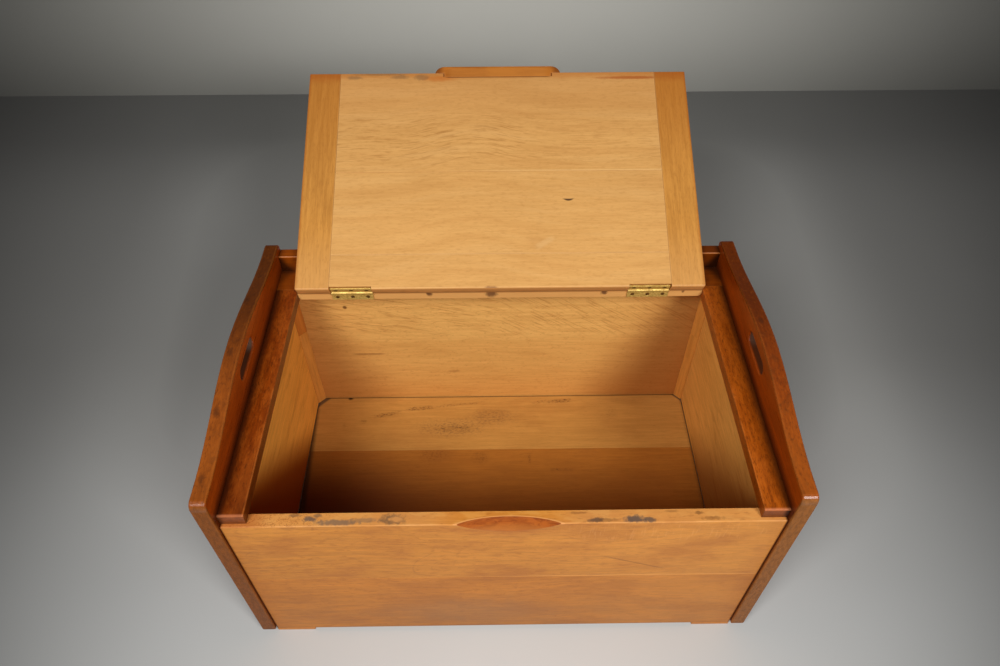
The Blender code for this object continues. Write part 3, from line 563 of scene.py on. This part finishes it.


# Floor boards: bare, with scratches and scuffs, darker along the walls and by the blocks, and painted shadow
# towards the front and in the front left corner
FLOOR_MARKS = {
    "floor_rear_board": [
        ("spot", (-0.3415, 0.2480), (0.0052, 0.0034), 0.95, (26, 12, 6)),
        ("dash", (-0.2860, 0.1955), (-0.2200, 0.2095), 0.0050, 0.74),
        ("dash", (-0.2160, 0.2152), (-0.1480, 0.2218), 0.0050, 0.86),
        ("dash", (-0.1600, 0.2210), (-0.0350, 0.2345), 0.0034, 0.52),
        ("dash", (0.0700, 0.2315), (0.1650, 0.2375), 0.0045, 0.60),
        ("dash", (0.1180, 0.2335), (0.1640, 0.2380), 0.0052, 0.76),
        ("spot", (-0.1100, 0.1640), (0.0640, 0.0200), 0.62, (100, 66, 42)),
        ("dash", (-0.1500, 0.1600), (-0.0600, 0.1670), 0.0026, 0.40),
        ("spot", (-0.0180, 0.1920), (0.0460, 0.0190), 0.50, (104, 68, 42)),
        ("spot", (-0.3067, 0.1839), (0.0065, 0.0060), 0.48, (92, 48, 18)),
        ("spot", (-0.3475, 0.1722), (0.0050, 0.0050), 0.36, (92, 48, 18)),
        ("spot", (0.2493, 0.2003), (0.0110, 0.0140), 0.30, (110, 62, 26)),
    ],
    "floor_middle_board": [
        ("dash", (0.0609, 0.0940), (0.0609, 0.0690), 0.0026, 0.55),
        ("dash", (0.1000, 0.0545), (0.1560, 0.0535), 0.0030, 0.50),
        ("spot", (-0.1463, 0.0937), (0.0300, 0.0140), 0.42, (96, 46, 14)),
        ("spot", (-0.0452, 0.0848), (0.0150, 0.0120), 0.52, (86, 42, 14)),
    ],
    "floor_front_board": [],
}


def floor_board(name, finish, seed):
    wood = Wood(name, 0, seed)
    x, y = wood.x, wood.y
    colour = wood.finish(finish)
    cloud = wood.step(wood.noise(wood.stretch((0.6, 1, 1), (2.2, seed, 0)), 11.0, 4, 0.6), 0.44, 0.68)
    colour = wood.lay(colour, cloud, 0.22, rgb(150, 90, 38))
    # Painted shadow: dark in the front left corner and towards the front
    corner = wood.times(wood.step(x, -0.02, -0.34), wood.step(y, 0.19, -0.06))
    colour = wood.lay(colour, corner, 0.92, rgb(66, 20, 1))
    colour = wood.lay(colour, wood.step(y, 0.09, -0.06), 0.30, rgb(104, 34, 1))
    scuff = wood.step(wood.noise(wood.stretch((0.55, 1, 1)), 300.0, 4, 0.7), 0.46, 0.64)
    grain = wood.plus(wood.times(scuff, 0.80), 0.20)
    for mark in FLOOR_MARKS[name]:
        if mark[0] == "spot":
            _, centre, radii, weight, over = mark
            patch = wood.spot(x, y, centre, radii, 0.75, 0.20, 90)
            patch = patch if weight > 0.9 else wood.times(patch, grain)
            colour = wood.lay(colour, patch, weight, rgb(*over))
        else:
            _, start, stop, width, weight = mark
            stroke = wood.times(wood.dash(x, y, start, stop, width, 0.25, 130), grain)
            colour = wood.lay(colour, stroke, weight, rgb(88, 48, 20))
    # Darker strips along the end panels, widening towards the front, and darker by the blocks' feet and the
    # back wall
    out = wood.minus(END_INNER, wood.size(x))
    spread = wood.minus(BACK_INNER, y)
    flare = wood.plus(wood.times(wood.step(x, 0.1, -0.1), 0.030), 0.008)
    slit = wood.minus(out, wood.plus(wood.times(spread, flare), 0.0010))
    corner_darkness = wood.plus(wood.times(wood.step(x, 0.1, -0.1), 0.35), 0.45)
    colour = wood.lay(colour, wood.step(slit, 0.0070, -0.0040), corner_darkness, rgb(44, 24, 10))
    foot = wood.plus(out, spread)
    dust = wood.plus(wood.times(wood.step(x, 0.1, -0.1), 0.007), BLOCK_LEG + 0.006)
    colour = wood.lay(colour, wood.step(wood.minus(foot, dust), 0.0050, -0.0020), 0.80, rgb(64, 52, 44))
    colour = wood.lay(colour, wood.step(spread, 0.0044, 0.0018), 0.80, rgb(56, 30, 12))
    dress(name, wood.done(colour, rough_of(finish)))


floor_board("floor_front_board", "floor_front", 41)
floor_board("floor_middle_board", "floor_worn", 47)
floor_board("floor_rear_board", "floor", 53)


# Runners and corner blocks
def plain_board(name, finish, grain, seed):
    wood = Wood(name, grain, seed)
    dress(name, wood.done(wood.finish(finish), rough_of(finish)))


for name, seed in (("left_runner", 60), ("centre_runner", 64), ("right_runner", 68)):
    plain_board(name, "honey_low", 1, seed)
for name, finish, seed in (
        ("rear_left_upper_block", "block", 80),
        ("rear_right_upper_block", "block_right", 83),
        ("rear_left_lower_block", "block_right", 86),
        ("rear_right_lower_block", "block_right", 89),
        ("front_left_block", "block", 92),
        ("front_right_block", "block", 95)):
    plain_board(name, finish, 2, seed)


# Ledges: stained, rubbed along the inner arris, with dirt and painted shade against the end panels, painted
# shade towards the front and a painted highlight on the front arris
def ledge(name, finish, seed, soot, shade):
    wood = Wood(name, 1, seed)
    out = wood.minus(END_INNER, wood.size(wood.x))
    colour = wood.finish(finish)
    worn = wood.step(wood.noise(wood.stretch((1, 0.3, 1), (seed, 0, 0)), 60.0, 3, 0.6), 0.42, 0.64)
    colour = wood.lay(colour, worn, 0.28, rgb(200, 104, 30))
    specks = wood.step(wood.noise(wood.stretch((1, 0.22, 1), (0, seed, 0)), 620.0, 2, 0.5), 0.56, 0.68)
    colour = wood.lay(colour, specks, 0.46, rgb(62, 22, 3))
    grit = wood.noise(wood.stretch((1, 0.35, 1), (seed, 0, 2)), 280.0, 3, 0.6)
    colour = wood.lay(colour, wood.step(grit, 0.54, 0.66), 0.34, rgb(70, 25, 3))
    colour = wood.lay(colour, wood.step(grit, 0.44, 0.32), 0.22, rgb(206, 112, 36))
    # Painted shade towards the front, as strong as the ledge's shade weight
    colour = wood.lay(colour, wood.step(wood.y, -0.06, -0.25), shade, rgb(64, 24, 3))
    # Dirt and painted shade against the end panels
    colour = wood.lay(colour, wood.step(out, 0.0150, 0.0010), 0.80, rgb(52, 18, 4))
    drop = wood.minus(LEDGE_TOP, wood.z)
    inner = wood.minus(wood.size(wood.x), LEDGE_INNER)
    arris = wood.step(wood.most(drop, inner), 0.0030, 0.0006)
    arris = wood.times(arris, wood.plus(wood.times(worn, 0.7), 0.3))
    colour = wood.lay(colour, arris, 0.28, rgb(208, 122, 52))
    back = wood.minus(wood.y, LEDGE_FRONT)
    # Painted highlight along the front top arris
    colour = wood.lay(colour, wood.step(wood.most(drop, back), 0.0048, 0.0016), 0.40, rgb(214, 132, 84))
    # Painted shade on the inner face below the arris
    upright = wood.times(wood.step(inner, 0.0010, 0.0002), wood.step(drop, 0.0020, 0.0040))
    colour = wood.lay(colour, upright, shade, rgb(84, 34, 4))
    end = wood.times(wood.step(back, 0.0014, 0.0004), wood.step(drop, 0.0022, 0.0032))
    tip = wood.lay(wood.finish("edge_left"), wood.step(out, 0.012, 0.003), soot, rgb(26, 16, 12))
    tip = wood.lay(tip, wood.step(drop, 0.002, 0.020), 0.45, rgb(84, 42, 26))
    dress(name, wood.done(wood.mix(end, colour, tip), rough_of(finish)))


ledge("left_ledge", "ledge_left", 71, 0.5, 0.45)
ledge("right_ledge", "ledge_right", 77, 0.9, 0.10)


# Dark marks on the rear shelf's front edge: place, half lengths and weight
SHELF_MARKS = (
    ((-0.132, 0.4070), (0.0056, 0.0052), 0.85),
    ((-0.017, 0.4060), (0.0100, 0.0085), 0.80),
    ((0.192, 0.4065), (0.0058, 0.0052), 0.85),
    ((0.339, 0.4075), (0.0024, 0.0036), 0.70),
)


# Rear shelf: stained on top, its sawn front edge bare with a few dark marks
def rear_shelf(name):
    wood = Wood(name, 0, 101)
    stain = wood.finish("rail")
    out = wood.minus(END_INNER, wood.size(wood.x))
    rail = wood.minus(BACK_INNER, wood.y)
    corner_darkness = wood.step(wood.plus(wood.times(rail, 0.6), out), 0.034, 0.012)
    stain = wood.lay(stain, corner_darkness, 0.80, rgb(30, 12, 5))
    stain = wood.lay(stain, wood.step(wood.x, -0.2, -0.3), 0.30, rgb(176, 84, 14))
    stain = wood.lay(stain, wood.step(rail, 0.012, 0.001), 0.60, rgb(60, 24, 8))
    bare = wood.mix(0.45, wood.finish("pale"), rgb(230, 166, 96))
    for centre, radii, weight in SHELF_MARKS:
        mark = wood.spot(wood.x, wood.z, centre, radii, 0.5, 0.3, 200)
        bare = wood.lay(bare, mark, weight, rgb(92, 52, 34))
    top = wood.step(wood.z, LEDGE_TOP - 0.0016, LEDGE_TOP - 0.0002)
    behind = wood.step(wood.y, SHELF_FRONT + 0.0004, SHELF_FRONT + 0.0016)
    dress(name, wood.done(wood.mix(wood.times(top, behind), bare, stain), 0.42))


rear_shelf("rear_shelf")


# Grey smears near the lid's front edge: place from the rear edge, and half lengths
LID_SMEARS = (
    ((-0.285, 0.4470), (0.014, 0.0040)),
    ((-0.195, 0.4490), (0.016, 0.0045)),
    ((-0.152, 0.4470), (0.014, 0.0060)),
    ((-0.235, 0.4545), (0.050, 0.0022)),
)


# Lid: bare underside, with the outer finish run over its edges and painted shade behind the pull
def lid_piece(name, seed, clamp):
    def sway(wood):
        hill = wood.times(wood.plus(wood.x, 0.050), 1 / 0.105)
        lift = wood.times(wood.math("EXPONENT", wood.times(wood.times(hill, hill), -1.0)), 0.032)
        roll = wood.times(wood.noise(wood.stretch((1.0, 0.4, 0), (seed, 0, 0)), 5.0, 1), 0.02)
        return wood.join(wood.x, wood.plus(wood.plus(wood.y, lift), roll), wood.z)

    wood = Wood(name, 1 if clamp else 0, seed, True)
    x = wood.x
    depth = wood.minus(LID_REAR, wood.y)
    bare = wood.finish("clamp" if clamp else "pale")
    outer = wood.finish("outside")
    grit = wood.minus(wood.noise(wood.stretch((0.4, 1, 1)), 60.0, 3, 0.6), 0.5)
    front_gap = wood.minus(wood.minus(LID_DEPTH, depth), wood.times(grit, 0.016))
    dents = None
    if clamp:
        side_gap = wood.minus(wood.minus(LID_HALF, wood.size(x)), wood.times(grit, 0.006))
        bare = wood.lay(bare, wood.step(depth, 0.14, 0.0), 0.55, rgb(226, 168, 98))
        hand = wood.plus(wood.times(wood.step(x, -0.1, 0.1), 0.18), 0.42)
        bare = wood.lay(bare, wood.step(depth, 0.16, LID_DEPTH), hand, rgb(186, 108, 32))
        bare = wood.lay(bare, wood.step(side_gap, 0.0070, 0.0008), 0.45, rgb(176, 96, 30))
        bare = wood.lay(bare, wood.step(front_gap, 0.026, 0.004), 0.60, rgb(176, 88, 26))
    else:
        flecks = wood.noise(wood.stretch((0.085, 1, 1), (seed, 0, 0), sway(wood)), 350.0, 2, 0.5)
        flecks = wood.step(flecks, 0.51, 0.69)
        zone = wood.times(wood.step(depth, 0.225, 0.280), wood.step(depth, 0.385, 0.330))
        strength = wood.plus(wood.times(wood.step(x, 0.14, -0.02), 0.24), 0.17)
        strength = wood.plus(wood.times(zone, strength), 0.06)
        bare = wood.lay(bare, flecks, strength, rgb(168, 108, 48))
        bands = wood.noise(wood.stretch((0.10, 1, 1), (seed, 3, 0), sway(wood)), 36.0, 3, 0.55)
        bare = wood.lay(bare, wood.step(bands, 0.48, 0.66), 0.22, rgb(204, 142, 74))
        bare = wood.lay(bare, wood.step(bands, 0.50, 0.34), 0.16, rgb(242, 192, 124))
        bare = wood.lay(bare, wood.step(depth, 0.30, 0.44), 0.34, rgb(206, 139, 78))
        bare = wood.lay(bare, wood.step(front_gap, 0.018, 0.003), 0.55, rgb(196, 116, 48))
        ooze = wood.spot(x, depth, (-0.118, 0.4440), (0.030, 0.006), 0.6, 0.2)
        bare = wood.lay(bare, ooze, 0.60, rgb(204, 112, 36))
        # Painted shadow along the pull's seat on the underside
        foot = wood.times(wood.step(depth, 0.4450, 0.4474), wood.step(wood.size(x), 0.110, 0.096))
        bare = wood.lay(bare, foot, 0.74, rgb(118, 62, 14))
        for centre, radii in LID_SMEARS:
            smear = wood.spot(x, depth, centre, radii, 0.5, 0.35)
            bare = wood.lay(bare, smear, 0.50, rgb(128, 98, 66))
        streak = wood.spot(x, depth, (0.265, 0.4440), (0.062, 0.0034), 0.5, 0.2)
        bare = wood.lay(bare, streak, 0.70, rgb(176, 82, 26))
        joint = wood.times(wood.band(depth, 0.2375, 0.2400, 0.0008), wood.step(x, -0.16, 0.12))
        bare = wood.lay(bare, joint, 0.45, rgb(246, 200, 132))
        # A knot: a darker patch with a lighter streak across it, the wood's own colour
        shade = wood.spot(x, depth, (0.070, 0.0900), (0.022, 0.0120), 0.7, 0.3)
        bare = wood.lay(bare, shade, 0.22, rgb(190, 126, 64))
        knot_streak = wood.dash(x, depth, (0.064, 0.0760), (0.102, 0.1010), 0.0060, 0.3)
        bare = wood.lay(bare, knot_streak, 0.30, rgb(244, 200, 136))
        seam = wood.step(wood.size(wood.minus(depth, 0.0675)), 0.0022, 0.0004)
        bare = wood.lay(bare, seam, 0.16, rgb(255, 214, 150))
        curl = wood.minus(x, 0.130)
        bow = wood.minus(depth, wood.times(wood.times(curl, curl), 24.0))
        dents = wood.spot(x, bow, (0.130, 0.1760), (0.0088, 0.0021), 0.5)
        bare = wood.lay(bare, dents, 0.92, rgb(66, 42, 26))
        scorch = wood.spot(x, depth, (-0.017, 0.000), (0.011, 0.004), 0.5, 0.3)
        bare = wood.lay(bare, scorch, 0.60, rgb(124, 70, 36))
    butt = wood.step(wood.size(wood.minus(wood.size(x), CLAMP_JOINT)), 0.0024, 0.0004)
    bare = wood.lay(bare, butt, 0.12, rgb(250, 205, 140))
    drawn = (0.9, 0.22, 1) if clamp else (0.26, 0.8, 1)
    mites = wood.noise(wood.stretch(drawn, (seed, 5, 0)), 320.0, 3, 0.6)
    bare = wood.lay(bare, wood.step(mites, 0.50, 0.68), 0.22 if clamp else 0.15, rgb(168, 104, 42))
    under = wood.step(wood.z, LID_BOTTOM + 0.0020, LID_BOTTOM + 0.0008)
    sawn = wood.mix(0.65, wood.finish("clamp"), rgb(236, 172, 104))
    worn = wood.plus(wood.times(grit, 0.020), wood.z)
    sawn = wood.lay(sawn, wood.step(worn, LID_BOTTOM + 0.010, LID_BOTTOM + 0.019), 0.50, rgb(146, 82, 36))
    outer = wood.mix(wood.step(depth, 0.0012, 0.0004), outer, sawn)
    seat_front = LID_DEPTH - PULL_SEAT_DEPTH
    seat = wood.times(wood.step(wood.size(x), PULL_SEAT_HALF + 0.0010, PULL_SEAT_HALF + 0.0004),
                      wood.step(depth, seat_front - 0.0006, seat_front))
    # Painted shade on the seat's back wall behind the pull; its end walls bare
    cheek = wood.step(wood.size(x), PULL_SEAT_HALF - 0.0010, PULL_SEAT_HALF - 0.0002)
    groove = wood.mix(cheek, rgb(120, 64, 20), bare)
    outer = wood.mix(seat, outer, groove)
    rough = wood.plus(wood.times(under, 0.12), 0.36)
    dress(name, wood.done(wood.mix(under, outer, bare), rough, dents))


lid_piece("lid_front_board", 5, False)
lid_piece("lid_middle_board", 9, False)
lid_piece("lid_rear_board", 14, False)
lid_piece("lid_left_clamp", 19, True)
lid_piece("lid_right_clamp", 26, True)


# Pull: outer finish, rubbed by hands and darker round its rim, with painted light where its ends tuck into
# the seat
def lid_pull(name):
    wood = Wood(name, 0, 33, True)
    y, side = wood.y, wood.size(wood.x)
    colour = wood.finish("outside")
    rub = wood.step(wood.noise(wood.stretch((0.4, 1, 1)), 30.0, 3, 0.6), 0.40, 0.62)
    colour = wood.lay(colour, rub, 0.60, rgb(208, 128, 48))
    flat = wood.times(wood.step(side, 0.104, 0.088), wood.step(y, LID_FRONT - 0.0145, LID_FRONT - 0.0115))
    colour = wood.lay(colour, flat, 0.35, rgb(216, 142, 66))
    rim = wood.step(wood.z, LID_BOTTOM + 0.0036, LID_BOTTOM + 0.0056)
    nose = wood.step(y, LID_FRONT, LID_FRONT - 0.0005)
    rim = wood.most(rim, wood.times(wood.step(side, 0.104, 0.118), nose))
    rim = wood.times(rim, wood.most(nose, wood.step(side, 0.1040, 0.1030)))
    colour = wood.lay(colour, rim, 0.70, rgb(120, 56, 10))
    # Painted light where the pull's ends tuck into the seat, against the groove's shade
    tucked = wood.times(wood.step(side, 0.1030, 0.1045), wood.step(y, LID_FRONT - 0.001, LID_FRONT + 0.001))
    colour = wood.lay(colour, tucked, 0.85, rgb(190, 120, 58))
    dress(name, wood.done(colour, rough_of("outside")))


lid_pull("lid_pull")


# Brass: dull gold, browner where it is not rubbed
def brass(name, bright, dull, rough, metal):
    paint = Paint(name)
    paint.point()
    blotch = paint.noise(paint.place, 260.0, 4, 0.62)
    scratch = paint.noise(paint.stretch((0.12, 1, 1)), 1900.0, 2, 0.5)
    tone = paint.step(paint.plus(blotch, paint.times(scratch, 0.3)), 0.48, 0.82)
    paint.feed(paint.shader.inputs["Base Color"], paint.mix(tone, dull, bright))
    paint.feed(paint.shader.inputs["Roughness"], paint.plus(paint.times(blotch, 0.20), rough))
    paint.shader.inputs["Metallic"].default_value = metal
    bump = paint.add("ShaderNodeBump")
    bump.inputs["Strength"].default_value = 0.25
    bump.inputs["Distance"].default_value = 0.0001
    paint.feed(bump.inputs["Height"], scratch)
    paint.feed(paint.shader.inputs["Normal"], bump.outputs[0])
    return paint.material


leaf_brass = brass("brass_leaf", rgb(236, 204, 112), rgb(196, 158, 74), 0.28, 0.30)
dull_brass = brass("brass_dull", rgb(232, 196, 108), rgb(190, 150, 72), 0.34, 0.30)
screw_brass = brass("brass_screw", rgb(132, 92, 36), rgb(88, 58, 20), 0.45, 0.40)
for hand in ("left", "right"):
    dress(hand + "_hinge_lid_leaf", leaf_brass)
    dress(hand + "_hinge_fixed_leaf", dull_brass)
    dress(hand + "_hinge_pin", dull_brass)
    for leaf in ("fixed", "lid"):
        for number in (1, 2, 3):
            dress("%s_hinge_%s_screw_%d" % (hand, leaf, number), screw_brass)


# Studio: a pale floor and low wall, painted with light that shades off, two soft lamps in front, a weak one
# behind, a faint sky
FLOOR_REACH = 4
WALL_Y = 1.62
WALL_TOP = 0.42
STAGE_ROUGH = 0.6
# Width over which the painted light on floor and wall shades off: at the middle or foot, and per metre of
# depth or height
FLOOR_WIDTH = (1.545, 0.674)
WALL_WIDTH = (2.637, -0.739)
# Painted light: the floor paler near the front than far back, the wall paler high than low
FLOOR_TONES = (rgb(206, 208, 208), rgb(152, 152, 150))
WALL_TONES = (rgb(230, 230, 223), rgb(166, 166, 160))
LIGHT_COLOUR = (1.0, 0.98, 0.95)
FRONT_POWER = 40.5
REAR_POWER = 12.0
SKY_LIGHT = 0.03
SKY_SEEN = 0.10


def sheet(name, corners, tint):
    mesh = bpy.data.meshes.new(name)
    mesh.from_pydata(corners, [], [(0, 1, 2, 3)])
    item = bpy.data.objects.new(name, mesh)
    bpy.context.scene.collection.objects.link(item)
    paint = Paint(name)
    x, y, z = paint.point()
    patchy = paint.times(paint.minus(paint.noise(paint.place, 2.2, 3, 0.55), 0.5), 0.12)
    colour, shade = tint(paint, x, y, z, patchy)
    paint.feed(paint.shader.inputs["Base Color"], paint.mix(shade, rgb(0, 0, 0), colour))
    paint.shader.inputs["Roughness"].default_value = STAGE_ROUGH
    mesh.materials.append(paint.material)


def floor_tint(paint, x, y, z, patchy):
    # Painted light: darker to the sides and far back, as under a pool of lamp light
    width = paint.most(paint.plus(paint.times(y, FLOOR_WIDTH[1]), FLOOR_WIDTH[0]), 0.95)
    aside = paint.math("DIVIDE", x, width)
    fall = paint.least(paint.times(paint.times(aside, aside), 1.25), 0.58)
    shade = paint.minus(1.0, paint.times(fall, paint.step(y, -1.30, -0.45)))
    # Painted light: lighter beside the chest, lifting its shadow there
    beside = paint.times(paint.step(paint.size(x), 1.10, 0.65), paint.band(y, 0.05, 1.35, 0.25))
    shade = paint.times(shade, paint.plus(paint.times(beside, 0.50), 1.0))
    shade = paint.times(shade, paint.minus(1.0, paint.times(paint.step(y, 0.90, 1.60), 0.26)))
    tone = paint.plus(paint.step(y, -0.40, 0.45), patchy)
    return paint.mix(tone, *FLOOR_TONES), shade


def wall_tint(paint, x, y, z, patchy):
    # Painted light: darker to the sides
    width = paint.plus(paint.times(z, WALL_WIDTH[1]), WALL_WIDTH[0])
    aside = paint.math("DIVIDE", x, width)
    shade = paint.math("EXPONENT", paint.times(paint.times(aside, aside), -2.97))
    tone = paint.plus(paint.step(z, 0.35, -0.15), patchy)
    return paint.mix(tone, *WALL_TONES), paint.most(shade, 0.20)


def sheet_corners(near, far):
    """The four corners of a sheet as wide as the floor, from the depth and height of two edges."""
    return [(side * FLOOR_REACH, depth, height)
            for side, (depth, height) in ((-1, near), (1, near), (1, far), (-1, far))]


sheet("studio_floor", sheet_corners((-FLOOR_REACH, 0), (FLOOR_REACH, 0)), floor_tint)
sheet("studio_wall", sheet_corners((WALL_Y, 0), (WALL_Y, WALL_TOP)), wall_tint)


def lamp(name, spot, target, size, power):
    data = bpy.data.lights.new(name, "AREA")
    data.shape = "DISK"
    data.size = size
    data.energy = power
    data.color = LIGHT_COLOUR
    item = bpy.data.objects.new(name, data)
    item.location = spot
    item.rotation_euler = (Vector(target) - Vector(spot)).to_track_quat("-Z", "Y").to_euler()
    bpy.context.scene.collection.objects.link(item)
    return item


def sky():
    """An even sky that lights faintly, and looks brighter to the camera and in reflections."""
    world = bpy.data.worlds.new("studio_sky")
    world.use_nodes = True
    tree = world.node_tree
    background = tree.nodes["Background"].inputs
    background["Color"].default_value = (*LIGHT_COLOUR, 1.0)
    rays = tree.nodes.new("ShaderNodeLightPath").outputs
    seen = tree.nodes.new("ShaderNodeMath")
    seen.operation = "MAXIMUM"
    tree.links.new(rays["Is Camera Ray"], seen.inputs[0])
    tree.links.new(rays["Is Glossy Ray"], seen.inputs[1])
    level = tree.nodes.new("ShaderNodeMath")
    level.operation = "MULTIPLY_ADD"
    tree.links.new(seen.outputs[0], level.inputs[0])
    level.inputs[1].default_value = SKY_SEEN
    level.inputs[2].default_value = SKY_LIGHT
    tree.links.new(level.outputs[0], background["Strength"])
    return world


lamp("left_lamp", (-0.83, -1.51, 2.30), (0.0, 0.0, 0.25), 0.80, FRONT_POWER)
lamp("right_lamp", (1.00, -1.735, 2.06), (0.0, 0.0, 0.25), 0.80, FRONT_POWER)
rear_fill = lamp("rear_fill", (0.0, 2.60, 1.20), (0.0, 0.0, 0.30), 1.0, REAR_POWER)
rear_fill.visible_glossy = False
bpy.context.scene.world = sky()

# Camera at the photograph's viewing angle
CAMERA_AT = Vector((-0.01366, -0.78930, 1.37153))
YAW, PITCH, ROLL = 0.01311, 0.83079, -0.00031
SENSOR_MM, LENS_MM = 36.0, 26.68
ahead = Vector((math.sin(YAW) * math.cos(PITCH), math.cos(YAW) * math.cos(PITCH), -math.sin(PITCH)))
right = Vector((math.cos(YAW), -math.sin(YAW), 0))
over = right.cross(ahead)
right, over = (right * math.cos(ROLL) + over * math.sin(ROLL),
               over * math.cos(ROLL) - right * math.sin(ROLL))
camera_data = bpy.data.cameras.new("camera")
camera_data.sensor_fit = "HORIZONTAL"
camera_data.sensor_width = SENSOR_MM
camera_data.lens = LENS_MM
camera = bpy.data.objects.new("camera", camera_data)
camera.matrix_world = Matrix.Translation(CAMERA_AT) @ Matrix((right, over, -ahead)).transposed().to_4x4()
bpy.context.scene.collection.objects.link(camera)
bpy.context.scene.camera = camera
bpy.context.scene.view_settings.view_transform = "Standard"
